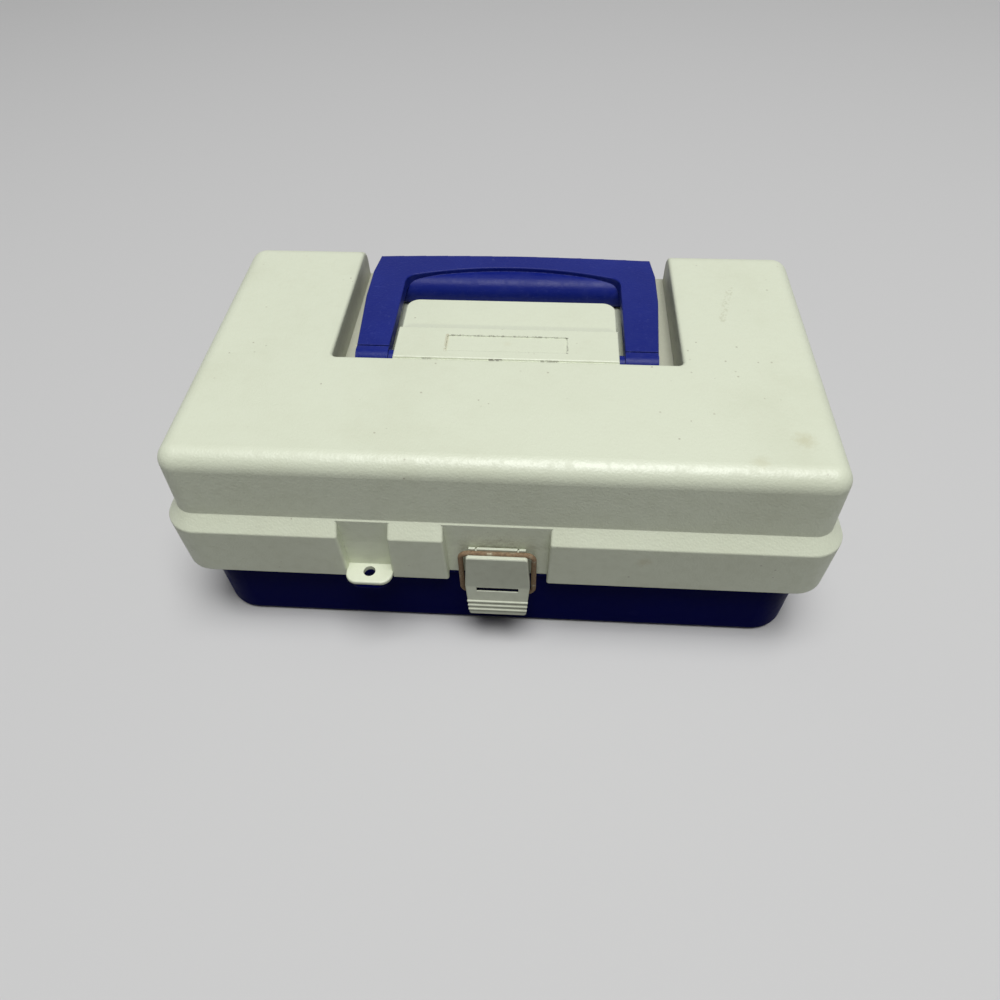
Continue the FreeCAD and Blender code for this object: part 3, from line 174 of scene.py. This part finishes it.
class Effects:
    """The effects that several finishes share, each built once as a node group."""

    def __init__(self) -> None:
        """Build every shared effect."""
        self.grain = self._grain()
        self.specks = self._specks()
        self.dust = self._dust()
        self.stain_and_shade = self._stain_and_shade()
        self.seam = self._seam()
        self.wear = self._wear()
        self.scratches = self._scratches()

    @staticmethod
    def _shell(
        name: str, inputs: dict[str, Optional[float]], outputs: Sequence[str]
    ) -> tuple[Graph, dict[str, bpy.types.NodeSocket], bpy.types.Node]:
        """Start a group with named inputs and outputs.

        Args:
            name: The name of the group.
            inputs: Input names with their first value, or None for a point.
            outputs: Output names, each a plain value.

        Returns:
            The group's writer, its input sockets by name and its output node.
        """
        tree = bpy.data.node_groups.new(name, "ShaderNodeTree")
        for label, value in inputs.items():
            kind = "NodeSocketVector" if value is None else "NodeSocketFloat"
            socket = tree.interface.new_socket(label, in_out="INPUT", socket_type=kind)
            if value is not None:
                socket.default_value = value
        for label in outputs:
            tree.interface.new_socket(label, in_out="OUTPUT", socket_type="NodeSocketFloat")
        graph = Graph(tree)
        entry = graph.node("NodeGroupInput")
        leave = graph.node("NodeGroupOutput")
        return graph, {label: entry.outputs[label] for label in inputs}, leave

    def _grain(self) -> bpy.types.NodeTree:
        """Build the fine pebbled grain of a textured mould.

        Returns:
            The new node group.
        """
        graph, given, leave = self._shell("mould_grain", {"Point": None, "Scale": 900.0}, ("Height", "Pits"))
        at = graph.scaled(given["Point"], given["Scale"])
        pebbles = graph.node("ShaderNodeTexVoronoi", {"Vector": at, "Scale": 1.0}, feature="SMOOTH_F1")
        away = pebbles.outputs["Distance"]
        waves = graph.noise(at, scale=0.55, detail=3.0, roughness=0.6)
        pebble_rise = -0.7
        height = graph.sum(Sum.ADD, graph.sum(Sum.MULTIPLY, away, pebble_rise), waves)
        graph.put(leave.inputs["Height"], height)
        graph.put(leave.inputs["Pits"], graph.step(away, low=0.55, high=0.85))
        return graph.tree

    def _specks(self) -> bpy.types.NodeTree:
        """Build scattered small specks of dirt.

        Returns:
            The new node group.
        """
        given_values = {"Point": None, "Scale": 90.0, "Size": 0.08}
        graph, given, leave = self._shell("dirt_specks", given_values, ("Mask",))
        at = graph.scaled(given["Point"], given["Scale"])
        dots = graph.node("ShaderNodeTexVoronoi", {"Vector": at, "Scale": 1.0})
        inside = graph.sum(Sum.SUBTRACT, given["Size"], dots.outputs["Distance"])
        near = graph.step(inside, low=0.0, high=0.03)
        kept = graph.step(graph.noise(given["Point"], scale=45.0, detail=2.0), low=0.52, high=0.62)
        graph.put(leave.inputs["Mask"], graph.sum(Sum.MULTIPLY, near, kept))
        return graph.tree

    def _dust(self) -> bpy.types.NodeTree:
        """Build a cloudy film of dirt.

        Returns:
            The new node group.
        """
        graph, given, leave = self._shell("cloudy_dirt", {"Point": None, "Scale": 12.0}, ("Mask", "Fine"))
        at = graph.scaled(given["Point"], given["Scale"])
        wide = graph.noise(at, scale=1.0, detail=5.0, roughness=0.62)
        fine = graph.noise(at, scale=14.0, detail=4.0, roughness=0.65)
        graph.put(leave.inputs["Mask"], graph.step(wide, low=0.42, high=0.72))
        graph.put(leave.inputs["Fine"], graph.step(fine, low=0.4, high=0.7))
        return graph.tree

    def _stain_and_shade(self) -> bpy.types.NodeTree:
        """Build one blotched patch round a centre, used for stains and for painted shade.

        Returns:
            The new node group.
        """
        given_values = {"Point": None, "Centre": None, "Radius": 0.01}
        graph, given, leave = self._shell("round_stain_and_shade", given_values, ("Mask",))
        away = graph.point_sum(PointSum.DISTANCE, given["Point"], given["Centre"])
        blotches = graph.noise(given["Point"], scale=260.0, detail=4.0, roughness=0.7)
        blotch_reach = 1.1
        ragged = graph.sum(Sum.MULTIPLY, blotches, blotch_reach)
        reach = graph.sum(Sum.ADD, graph.sum(Sum.DIVIDE, away, given["Radius"]), ragged)
        graph.put(leave.inputs["Mask"], graph.step(reach, low=1.25, high=0.6))
        return graph.tree

    def _seam(self) -> bpy.types.NodeTree:
        """Build dots of dirt, or of painted shade, along a straight line between two points.

        Returns:
            The new node group.
        """
        given_values = {"Point": None, "Start": None, "End": None, "Width": 0.001, "Dots": 0.5}
        graph, given, leave = self._shell("dotted_dirt_and_shade_line", given_values, ("Mask",))
        run = graph.point_sum(PointSum.SUBTRACT, given["End"], given["Start"])
        away = graph.point_sum(PointSum.SUBTRACT, given["Point"], given["Start"])
        along = graph.point_sum(PointSum.DOT, away, run)
        whole = graph.point_sum(PointSum.DOT, run, run)
        part = graph.sum(Sum.DIVIDE, along, whole, clamp=True)
        aside = graph.point_sum(PointSum.DISTANCE, away, graph.scaled(run, part))
        near = graph.step(graph.sum(Sum.DIVIDE, aside, given["Width"]), low=1.0, high=0.5)
        crumbs = graph.noise(given["Point"], scale=620.0, detail=3.0, roughness=0.6)
        broken = graph.step(graph.sum(Sum.SUBTRACT, crumbs, given["Dots"]), low=0.0, high=0.06)
        graph.put(leave.inputs["Mask"], graph.sum(Sum.MULTIPLY, near, broken))
        return graph.tree

    def _wear(self) -> bpy.types.NodeTree:
        """Build the rubbed look of sharp edges.

        Returns:
            The new node group.
        """
        graph, given, leave = self._shell("edge_wear", {"Point": None, "Radius": 0.0008}, ("Mask",))
        soft = graph.node("ShaderNodeBevel", {"Radius": given["Radius"]}, samples=BEVEL_SAMPLES).outputs[0]
        hard = graph.node("ShaderNodeNewGeometry").outputs["Normal"]
        same = graph.point_sum(PointSum.DOT, soft, hard)
        ragged = graph.step(graph.noise(given["Point"], scale=420.0), low=0.35, high=0.65)
        edge = graph.step(same, low=0.985, high=0.8)
        graph.put(leave.inputs["Mask"], graph.sum(Sum.MULTIPLY, edge, ragged))
        return graph.tree

    def _scratches(self) -> bpy.types.NodeTree:
        """Build thin scattered scratches in two directions.

        Returns:
            The new node group.
        """
        graph, given, leave = self._shell("thin_scratches", {"Point": None, "Scale": 60.0}, ("Mask",))
        stretch = (1.0, 14.0, 1.0)
        lines: list[bpy.types.NodeSocket] = []
        for turn in ((0.3, 0.1, 0.5), (1.1, 0.4, 2.1)):
            inputs = {"Vector": given["Point"], "Rotation": turn, "Scale": stretch}
            turned = graph.node("ShaderNodeMapping", inputs).outputs[0]
            at = graph.scaled(turned, given["Scale"])
            lines.append(graph.step(graph.noise(at, scale=1.0, detail=1.0), low=0.735, high=0.76))
        broken = graph.step(graph.noise(given["Point"], scale=30.0, detail=2.0), low=0.5, high=0.6)
        graph.put(leave.inputs["Mask"], graph.sum(Sum.MULTIPLY, graph.sum(Sum.MAXIMUM, *lines), broken))
        return graph.tree


@dataclass(frozen=True)
class StainAndShadePatch:
    """One blotched patch on a piece, a stain or painted shade: where it is, how wide, what colour and how
    strong.
    """

    centre: Point
    radius: float
    colour: Colour
    strength: float

    def lay(self, graph: Graph, effects: Effects, at: Source, tone: Source) -> bpy.types.NodeSocket:
        """Lay the stain or painted shade over a colour.

        Args:
            graph: The writer of the material's nodes.
            effects: The shared effects.
            at: The point on the piece.
            tone: The colour that it lies on.

        Returns:
            The colour with it.
        """
        inputs = {"Point": at, "Centre": self.centre, "Radius": self.radius}
        mark = graph.group(effects.stain_and_shade, inputs)
        return graph.faded(mark.outputs["Mask"], self.strength, tone, self.colour)


@dataclass(frozen=True)
class Seam:
    """Dots along a straight line, of dirt or of painted shade: its ends, its width, its colour and how
    strong it is.
    """

    start: Point
    end: Point
    width: float
    colour: Colour
    strength: float
    dots: float

    def lay(self, graph: Graph, effects: Effects, at: Source, tone: Source) -> bpy.types.NodeSocket:
        """Lay the line of dirt or painted shade over a colour.

        Args:
            graph: The writer of the material's nodes.
            effects: The shared effects.
            at: The point on the piece.
            tone: The colour that it lies on.

        Returns:
            The colour with it.
        """
        ends = {"Start": self.start, "End": self.end, "Width": self.width, "Dots": self.dots}
        mark = graph.group(effects.seam, {"Point": at, **ends})
        return graph.faded(mark.outputs["Mask"], self.strength, tone, self.colour)


@dataclass(frozen=True)
class MouldedPlastic:
    """A moulded plastic with its grain, dirt and wear, and its marks: stains, dirt lines and painted shade.
    """

    name: str
    colour: Colour
    shade: Colour
    roughness: float
    specular: float = 0.5
    grain_scale: float = 1100.0
    grain_depth: float = 0.25
    grain_tint: float = 0.0
    grain_height: float = 0.00012
    edge_round: float = 0.0005
    cloud_scale: float = 14.0
    dirt_colour: Colour = (0.30, 0.27, 0.20)
    dirt: float = 0.1
    speck: float = 0.5
    speck_scale: float = 150.0
    speck_size: float = 0.1
    wear_colour: Colour = (0.9, 0.9, 0.85)
    wear: float = 0.2
    wear_radius: float = 0.0009
    scratch: float = 0.1
    scratch_scale: float = 70.0
    scratch_roughness: float = 0.5
    polish_below: float = 0.05
    polish_above: float = 0.08
    marks: tuple[Union[StainAndShadePatch, Seam], ...] = ()

    def material(self, effects: Effects) -> bpy.types.Material:
        """Build the finish.

        Args:
            effects: The shared effects.

        Returns:
            The new material.
        """
        made, graph, shader = blank_material(self.name)
        at = graph.place()
        grain = graph.group(effects.grain, {"Point": at, "Scale": self.grain_scale})
        cloud = graph.group(effects.dust, {"Point": at, "Scale": self.cloud_scale})
        spots = {"Point": at, "Scale": self.speck_scale, "Size": self.speck_size}
        specks = graph.group(effects.specks, spots)
        wear = graph.group(effects.wear, {"Point": at, "Radius": self.wear_radius})
        scratches = graph.group(effects.scratches, {"Point": at, "Scale": self.scratch_scale})
        tone = graph.colour(cloud.outputs["Mask"], self.colour, self.shade)
        tone = graph.faded(grain.outputs["Pits"], self.grain_tint, tone, self.wear_colour)
        tone = graph.faded(cloud.outputs["Fine"], self.dirt, tone, self.dirt_colour)
        tone = graph.faded(specks.outputs["Mask"], self.speck, tone, self.dirt_colour)
        for mark in self.marks:
            tone = mark.lay(graph, effects, at, tone)
        tone = graph.faded(wear.outputs["Mask"], self.wear, tone, self.wear_colour)
        tone = graph.faded(scratches.outputs["Mask"], self.scratch, tone, self.wear_colour)
        graph.put(shader.inputs["Base Color"], tone)
        smooth, rough = self.roughness - self.polish_below, self.roughness + self.polish_above
        polish = graph.step(cloud.outputs["Fine"], low=0.0, high=1.0, start=smooth, end=rough)
        dulled = graph.sum(Sum.MULTIPLY, scratches.outputs["Mask"], self.scratch * self.scratch_roughness)
        graph.put(shader.inputs["Roughness"], graph.sum(Sum.ADD, polish, dulled))
        graph.put(shader.inputs["Specular IOR Level"], self.specular)
        edge = {"Radius": self.edge_round}
        rounded = graph.node("ShaderNodeBevel", edge, samples=BEVEL_SAMPLES).outputs[0]
        relief = {"Strength": self.grain_depth, "Distance": self.grain_height}
        bump = graph.node("ShaderNodeBump", {**relief, "Height": grain.outputs["Height"], "Normal": rounded})
        graph.put(shader.inputs["Normal"], bump.outputs[0])
        return made


@dataclass(frozen=True)
class RustyWire:
    """Bare steel wire with brown rust over most of it."""

    name: str
    steel: Colour = (0.34, 0.31, 0.22)
    rust: Colour = (0.26, 0.175, 0.10)
    deep_rust: Colour = (0.155, 0.098, 0.055)
    steel_metal: float = 0.6
    rust_metal: float = 0.1
    steel_roughness: float = 0.5
    rust_roughness: float = 0.8
    relief: float = 0.6
    relief_height: float = 0.00015

    def material(self, effects: Effects) -> bpy.types.Material:
        """Build the finish.

        Args:
            effects: The shared effects, of which the wire needs none.

        Returns:
            The new material.
        """
        made, graph, shader = blank_material(self.name)
        at = graph.place()
        fine = graph.noise(at, scale=900.0, detail=6.0, roughness=0.7)
        wide = graph.noise(at, scale=190.0, detail=4.0, roughness=0.6)
        rusted = graph.step(wide, low=0.30, high=0.46)
        tone = graph.colour(graph.step(fine, low=0.4, high=0.65), self.rust, self.deep_rust)
        graph.put(shader.inputs["Base Color"], graph.colour(rusted, self.steel, tone))
        metal = graph.step(rusted, low=0.0, high=1.0, start=self.steel_metal, end=self.rust_metal)
        graph.put(shader.inputs["Metallic"], metal)
        polish = graph.step(rusted, low=0.0, high=1.0, start=self.steel_roughness, end=self.rust_roughness)
        graph.put(shader.inputs["Roughness"], polish)
        relief = {"Strength": self.relief, "Distance": self.relief_height, "Height": fine}
        graph.put(shader.inputs["Normal"], graph.node("ShaderNodeBump", relief).outputs[0])
        return made


@dataclass(frozen=True)
class BareMetal:
    """Turned or drawn metal with fine marks and a little tarnish."""

    name: str
    colour: Colour
    tarnish: Colour
    roughness: float = 0.35
    tarnish_scale: float = 120.0
    polish_below: float = 0.08
    polish_above: float = 0.12
    relief: float = 0.2
    relief_height: float = 0.0001

    def material(self, effects: Effects) -> bpy.types.Material:
        """Build the finish.

        Args:
            effects: The shared effects.

        Returns:
            The new material.
        """
        made, graph, shader = blank_material(self.name)
        cloud = graph.group(effects.dust, {"Point": graph.place(), "Scale": self.tarnish_scale})
        tone = graph.colour(cloud.outputs["Mask"], self.colour, self.tarnish)
        graph.put(shader.inputs["Base Color"], tone)
        graph.put(shader.inputs["Metallic"], 1.0)
        smooth, rough = self.roughness - self.polish_below, self.roughness + self.polish_above
        polish = graph.step(cloud.outputs["Fine"], low=0.0, high=1.0, start=smooth, end=rough)
        graph.put(shader.inputs["Roughness"], polish)
        relief = {"Strength": self.relief, "Distance": self.relief_height, "Height": cloud.outputs["Fine"]}
        graph.put(shader.inputs["Normal"], graph.node("ShaderNodeBump", relief).outputs[0])
        return made


def blank_material(name: str) -> tuple[bpy.types.Material, Graph, bpy.types.Node]:
    """Start a material with only its shader and its output.

    Args:
        name: The name of the finish.

    Returns:
        The material, the writer of its nodes and its shader node.
    """
    made = bpy.data.materials.new(name)
    made.use_nodes = True
    made.node_tree.nodes.clear()
    graph = Graph(made.node_tree)
    shader = graph.node("ShaderNodeBsdfPrincipled")
    leave = graph.node("ShaderNodeOutputMaterial")
    made.node_tree.links.new(shader.outputs[0], leave.inputs[0])
    return made, graph, shader


def seen_rays(graph: Graph) -> bpy.types.NodeSocket:
    """Tell which rays show the backdrop itself: to the camera, in gloss and through glass.

    Args:
        graph: The writer of the nodes that ask.

    Returns:
        A value that is 1 on those rays and 0 on all others.
    """
    rays = graph.node("ShaderNodeLightPath")
    mirrored = graph.sum(Sum.MAXIMUM, rays.outputs["Is Glossy Ray"], rays.outputs["Is Transmission Ray"])
    return graph.sum(Sum.MAXIMUM, rays.outputs["Is Camera Ray"], mirrored)


CREAM = (0.70, 0.745, 0.585)
CREAM_SHADE = (0.66, 0.70, 0.54)
BROWN_MARK = (0.46, 0.42, 0.22)
PALE_MARK = (0.60, 0.58, 0.40)
OLIVE_MARK = (0.36, 0.35, 0.20)
SOIL_MARK = (0.40, 0.34, 0.20)
CORNER_MARK = (0.42, 0.36, 0.20)
GROOVE_DIRT = (0.13, 0.12, 0.09)
# Painted shade plus dirt for the handle recess
RECESS_SHADE_AND_DIRT = (0.30, 0.29, 0.22)
# Painted shade for the latch notch wall, darkening it as if the ledge above shades it
LATCH_NOTCH_SHADE = (0.32, 0.30, 0.23)
# Painted shade for the block's rear surface along its step
BLOCK_STEP_SHADE = (0.47, 0.49, 0.42)

# Places on the lid, in metres
LID_TOP = 0.1237
GROOVE_PLACE = -0.0139
GROOVE_TOP = 0.1235
FIELD_TOP = 0.1241
FIELD_SIDE = 0.0310
FIELD_REAR = 0.0049
FIELD_FRONT = -0.0077
RECESS_SIDE = 0.0888
RECESS_FOOT = 0.1080
RECESS_REAR = 0.0850
BLOCK_REAR_TOP = 0.1196
BLOCK_STEP = 0.0160
BLOCK_SIDE = 0.0520
LATCH_WALL = -0.0902

# Stains on the lid, and one broad patch of painted shade on the latch notch wall
LID_STAINS_AND_NOTCH_SHADE = (
    StainAndShadePatch((0.1380, -0.0646, LID_TOP), 0.010, BROWN_MARK, 0.34),
    StainAndShadePatch((0.1163, -0.0792, LID_TOP), 0.008, BROWN_MARK, 0.20),
    StainAndShadePatch((0.0710, -0.0962, 0.0695), 0.007, BROWN_MARK, 0.36),
    StainAndShadePatch((0.0005, -0.0010, GROOVE_TOP), 0.004, PALE_MARK, 0.30),
    # painted shade: darkens the whole latch notch wall
    StainAndShadePatch((0.0000, LATCH_WALL, 0.0640), 0.024, LATCH_NOTCH_SHADE, 0.75),
    StainAndShadePatch((-0.0100, LATCH_WALL, 0.0665), 0.008, SOIL_MARK, 0.35),
)
FIELD_CORNERS = {
    "rear_left": (-FIELD_SIDE, FIELD_REAR, FIELD_TOP),
    "rear_right": (FIELD_SIDE, FIELD_REAR, FIELD_TOP),
    "front_left": (-FIELD_SIDE, FIELD_FRONT, FIELD_TOP),
    "front_right": (FIELD_SIDE, FIELD_FRONT, FIELD_TOP),
}
FIELD_SEAMS = tuple(
    Seam(FIELD_CORNERS[start], FIELD_CORNERS[end], width, colour, strength, dots)
    for start, end, width, colour, strength, dots in (
        ("rear_left", "rear_right", 0.0008, GROOVE_DIRT, 0.55, 0.50),
        ("rear_right", "front_right", 0.0008, GROOVE_DIRT, 0.65, 0.46),
        ("rear_left", "front_left", 0.0012, CORNER_MARK, 0.45, 0.40),
    )
)
GROOVE = (GROOVE_PLACE, GROOVE_TOP)
GROOVE_SEAMS = tuple(
    Seam((left, *GROOVE), (right, *GROOVE), width, GROOVE_DIRT, strength, dots)
    for left, right, width, strength, dots in (
        (-0.0420, -0.0380, 0.0007, 0.45, 0.42),
        (-0.0080, -0.0020, 0.0008, 0.75, 0.36),
        (0.0180, 0.0265, 0.0007, 0.55, 0.44),
    )
)
SCRATCH_TRAIL = Seam((0.1201, 0.0527, LID_TOP), (0.1120, 0.0232, LID_TOP), 0.0024, OLIVE_MARK, 0.25, 0.50)
# painted shade: a soft darker band on the block's rear surface along the step
BLOCK_STEP_SHADE_SEAM = Seam(
    (-BLOCK_SIDE, BLOCK_STEP, BLOCK_REAR_TOP),
    (BLOCK_SIDE, BLOCK_STEP, BLOCK_REAR_TOP),
    width=0.0050,
    colour=BLOCK_STEP_SHADE,
    strength=0.30,
    dots=0.25,
)
# painted shade plus dirt: darkens the recess floor and the foot of its side walls on both sides
RECESS_SHADE_AND_DIRT_SEAMS = tuple(
    Seam((side, GROOVE_PLACE, RECESS_FOOT), (side, RECESS_REAR, RECESS_FOOT), 0.017, RECESS_SHADE_AND_DIRT, 0.62, 0.26)
    for side in (-RECESS_SIDE, RECESS_SIDE)
)

LID_FINISH = MouldedPlastic(
    "lid_grained_plastic",
    CREAM,
    CREAM_SHADE,
    roughness=0.50,
    specular=1.0,
    grain_scale=950.0,
    grain_depth=0.9,
    grain_tint=0.05,
    dirt=0.05,
    speck=0.5,
    wear_colour=(0.80, 0.81, 0.72),
    # marks: stains and dirt, plus painted shade on the latch notch wall, at the block step and in the handle
    # recess
    marks=(*LID_STAINS_AND_NOTCH_SHADE, *FIELD_SEAMS, *GROOVE_SEAMS, SCRATCH_TRAIL, BLOCK_STEP_SHADE_SEAM, *RECESS_SHADE_AND_DIRT_SEAMS),
)
BASE_FINISH = MouldedPlastic(
    "base_glossy_plastic",
    (0.0007, 0.0020, 0.072),
    (0.0009, 0.0026, 0.084),
    roughness=0.34,
    specular=0.008,
    grain_scale=1400.0,
    grain_depth=0.10,
    dirt_colour=(0.02, 0.02, 0.05),
    dirt=0.03,
    speck=0.25,
    wear_colour=(0.02, 0.02, 0.10),
    wear=0.3,
    scratch=0.15,
)
HANDLE_FINISH = MouldedPlastic(
    "handle_grained_plastic",
    (0.005, 0.013, 0.172),
    (0.008, 0.018, 0.202),
    roughness=0.42,
    specular=0.16,
    grain_scale=1000.0,
    grain_depth=0.6,
    grain_tint=0.10,
    dirt_colour=(0.10, 0.12, 0.22),
    dirt=0.05,
    speck=0.4,
    wear_colour=(0.10, 0.12, 0.42),
    wear=0.55,
    scratch=0.15,
)
LATCH_FINISH = MouldedPlastic(
    "latch_plastic",
    (0.62, 0.655, 0.53),
    (0.57, 0.60, 0.48),
    roughness=0.5,
    specular=0.35,
    grain_depth=0.15,
    dirt=0.10,
    speck=0.3,
)
TRAY_FINISH = MouldedPlastic(
    "tray_plastic",
    (0.68, 0.69, 0.62),
    (0.65, 0.66, 0.58),
    roughness=0.33,
    grain_depth=0.08,
    dirt=0.08,
    speck=0.35,
    scratch=0.2,
)
ARM_FINISH = MouldedPlastic(
    "arm_plastic",
    (0.68, 0.69, 0.62),
    (0.64, 0.65, 0.57),
    roughness=0.36,
    grain_depth=0.1,
)
DIVIDER_FINISH = MouldedPlastic(
    "divider_plastic",
    (0.70, 0.71, 0.64),
    (0.66, 0.67, 0.60),
    roughness=0.36,
    grain_depth=0.06,
    dirt=0.06,
)
WIRE_FINISH = RustyWire("rusty_wire")
PIN_FINISH = BareMetal("pin_steel", (0.52, 0.52, 0.53), (0.30, 0.26, 0.22))
RIVET_FINISH = BareMetal("rivet_aluminium", (0.72, 0.72, 0.73), (0.50, 0.50, 0.50), roughness=0.3)


Finish = Union[MouldedPlastic, RustyWire, BareMetal]


@dataclass
class Assembly:
    """A group of frame nodes that one sub-assembly is made of."""

    name: str
    finishes: dict[str, Finish]

    def dress(self, wardrobe: "Wardrobe") -> None:
        """Give every node of the group its finish.

        Args:
            wardrobe: The keeper of the materials.
        """
        for node, finish in self.finishes.items():
            wardrobe.wear(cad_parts[node], finish)
        LOG.info("%s: %d nodes dressed", self.name, len(self.finishes))


class Wardrobe:
    """Keeps one material for each finish."""

    def __init__(self) -> None:
        """Start with the shared effects and no materials."""
        self.effects = Effects()
        self.made: dict[str, bpy.types.Material] = {}

    def wear(self, piece: bpy.types.Object, finish: Finish) -> None:
        """Put a finish on every face of a piece.

        Args:
            piece: The object to dress.
            finish: The finish that it gets.
        """
        if finish.name not in self.made:
            self.made[finish.name] = finish.material(self.effects)
        if not piece.material_slots:
            piece.data.materials.append(None)
        for slot in piece.material_slots:
            slot.material = self.made[finish.name]
        LOG.info("%s: %s", piece.name, finish.name)


def assemblies() -> list[Assembly]:
    """List the sub-assemblies of the box with their finishes.

    Returns:
        The sub-assemblies, from the base up.
    """
    sides = ("left", "right")
    pins = {f"hinge_pin_{side}": PIN_FINISH for side in sides}
    dividers = {f"tray_divider_{number}": DIVIDER_FINISH for number in range(1, DIVIDER_COUNT + 1)}
    arms = {f"tray_arm_{side}": ARM_FINISH for side in sides}
    rivets = {f"{kind}_rivet_{side}": RIVET_FINISH for kind in ("base", "arm", "lid") for side in sides}
    return [
        Assembly("base", {"base_shell": BASE_FINISH, **pins}),
        Assembly("lid", {"lid_shell": LID_FINISH}),
        Assembly("handle", {"handle": HANDLE_FINISH}),
        Assembly("latch", {"latch_lever": LATCH_FINISH, "latch_bail": WIRE_FINISH}),
        Assembly("tray", {"tray": TRAY_FINISH, **dividers, **arms, **rivets}),
    ]


@dataclass
class Studio:
    """The floor, the lamp, the world and the camera round the box."""

    floor_size: float = 14.0
    floor_colour: Colour = (0.62, 0.62, 0.62)
    floor_bounce: Colour = (0.15, 0.15, 0.15)
    floor_roughness: float = 0.9
    lamp_place: Point = (0.22, -0.52, 3.05)
    lamp_target: Point = (0.0, 0.0, 0.05)
    lamp_width: float = 1.7
    lamp_power: float = 93.0
    air_light: float = 0.06
    air_seen: float = 0.60
    camera_place: Point = (0.02013, -0.31079, 0.36460)
    elevation: float = 49.552
    yaw: float = -4.728
    roll: float = 1.503
    focal_pixels: float = 749.656
    frame_pixels: float = 1000.0
    sensor: float = 36.0
    clip_start: float = 10 * MM

    def build(self) -> None:
        """Make the floor, the lamp, the world and the camera."""
        self._floor()
        self._lamp()
        self._world()
        self._camera()
        bpy.context.scene.view_settings.view_transform = "Standard"

    def _floor(self) -> None:
        """Make the plain pale floor."""
        bpy.ops.mesh.primitive_plane_add(size=self.floor_size)
        floor = bpy.context.object
        floor.name = "studio_floor"
        made, graph, shader = blank_material("studio_floor_paint")
        tone = graph.colour(seen_rays(graph), self.floor_bounce, self.floor_colour)
        graph.put(shader.inputs["Base Color"], tone)
        graph.put(shader.inputs["Roughness"], self.floor_roughness)
        floor.data.materials.append(made)

    def _lamp(self) -> None:
        """Make one square panel of soft light above the box."""
        data = bpy.data.lights.new("sky_panel", "AREA")
        data.size = self.lamp_width
        data.energy = self.lamp_power
        lamp = bpy.data.objects.new("sky_panel", data)
        lamp.location = self.lamp_place
        facing = Vector(self.lamp_target) - Vector(self.lamp_place)
        lamp.rotation_euler = facing.to_track_quat("-Z", "Y").to_euler()
        bpy.context.collection.objects.link(lamp)

    def _world(self) -> None:
        """Light the scene all round and show a pale backdrop."""
        world = bpy.context.scene.world or bpy.data.worlds.new("studio_air")
        bpy.context.scene.world = world
        world.use_nodes = True
        world.node_tree.nodes.clear()
        graph = Graph(world.node_tree)
        strength = graph.step(seen_rays(graph), low=0.0, high=1.0, start=self.air_light, end=self.air_seen)
        air = graph.node("ShaderNodeBackground", {"Color": (1.0, 1.0, 1.0), "Strength": strength})
        leave = graph.node("ShaderNodeOutputWorld")
        world.node_tree.links.new(air.outputs[0], leave.inputs[0])

    def _camera(self) -> None:
        """Set the camera at the photograph's place and angle."""
        up, side, tilt = math.radians(self.elevation), math.radians(self.yaw), math.radians(self.roll)
        ahead = Vector((math.sin(side) * math.cos(up), math.cos(side) * math.cos(up), -math.sin(up)))
        level = Vector((math.cos(side), -math.sin(side), 0.0))
        below = ahead.cross(level)
        right = level * math.cos(tilt) + below * math.sin(tilt)
        down = below * math.cos(tilt) - level * math.sin(tilt)
        data = bpy.data.cameras.new("photo_camera")
        data.sensor_fit = "HORIZONTAL"
        data.sensor_width = self.sensor
        data.lens = self.focal_pixels / self.frame_pixels * self.sensor
        data.clip_start = self.clip_start
        camera = bpy.data.objects.new("photo_camera", data)
        turn = Matrix((right, -down, -ahead)).transposed().to_4x4()
        camera.matrix_world = Matrix.Translation(self.camera_place) @ turn
        bpy.context.collection.objects.link(camera)
        bpy.context.scene.camera = camera


def main() -> None:
    """Dress the box and set it in the studio."""
    logging.basicConfig(level=logging.INFO, format="%(name)s: %(message)s")
    wardrobe = Wardrobe()
    for assembly in assemblies():
        assembly.dress(wardrobe)
    Studio().build()


if __name__ == "__main__":
    main()
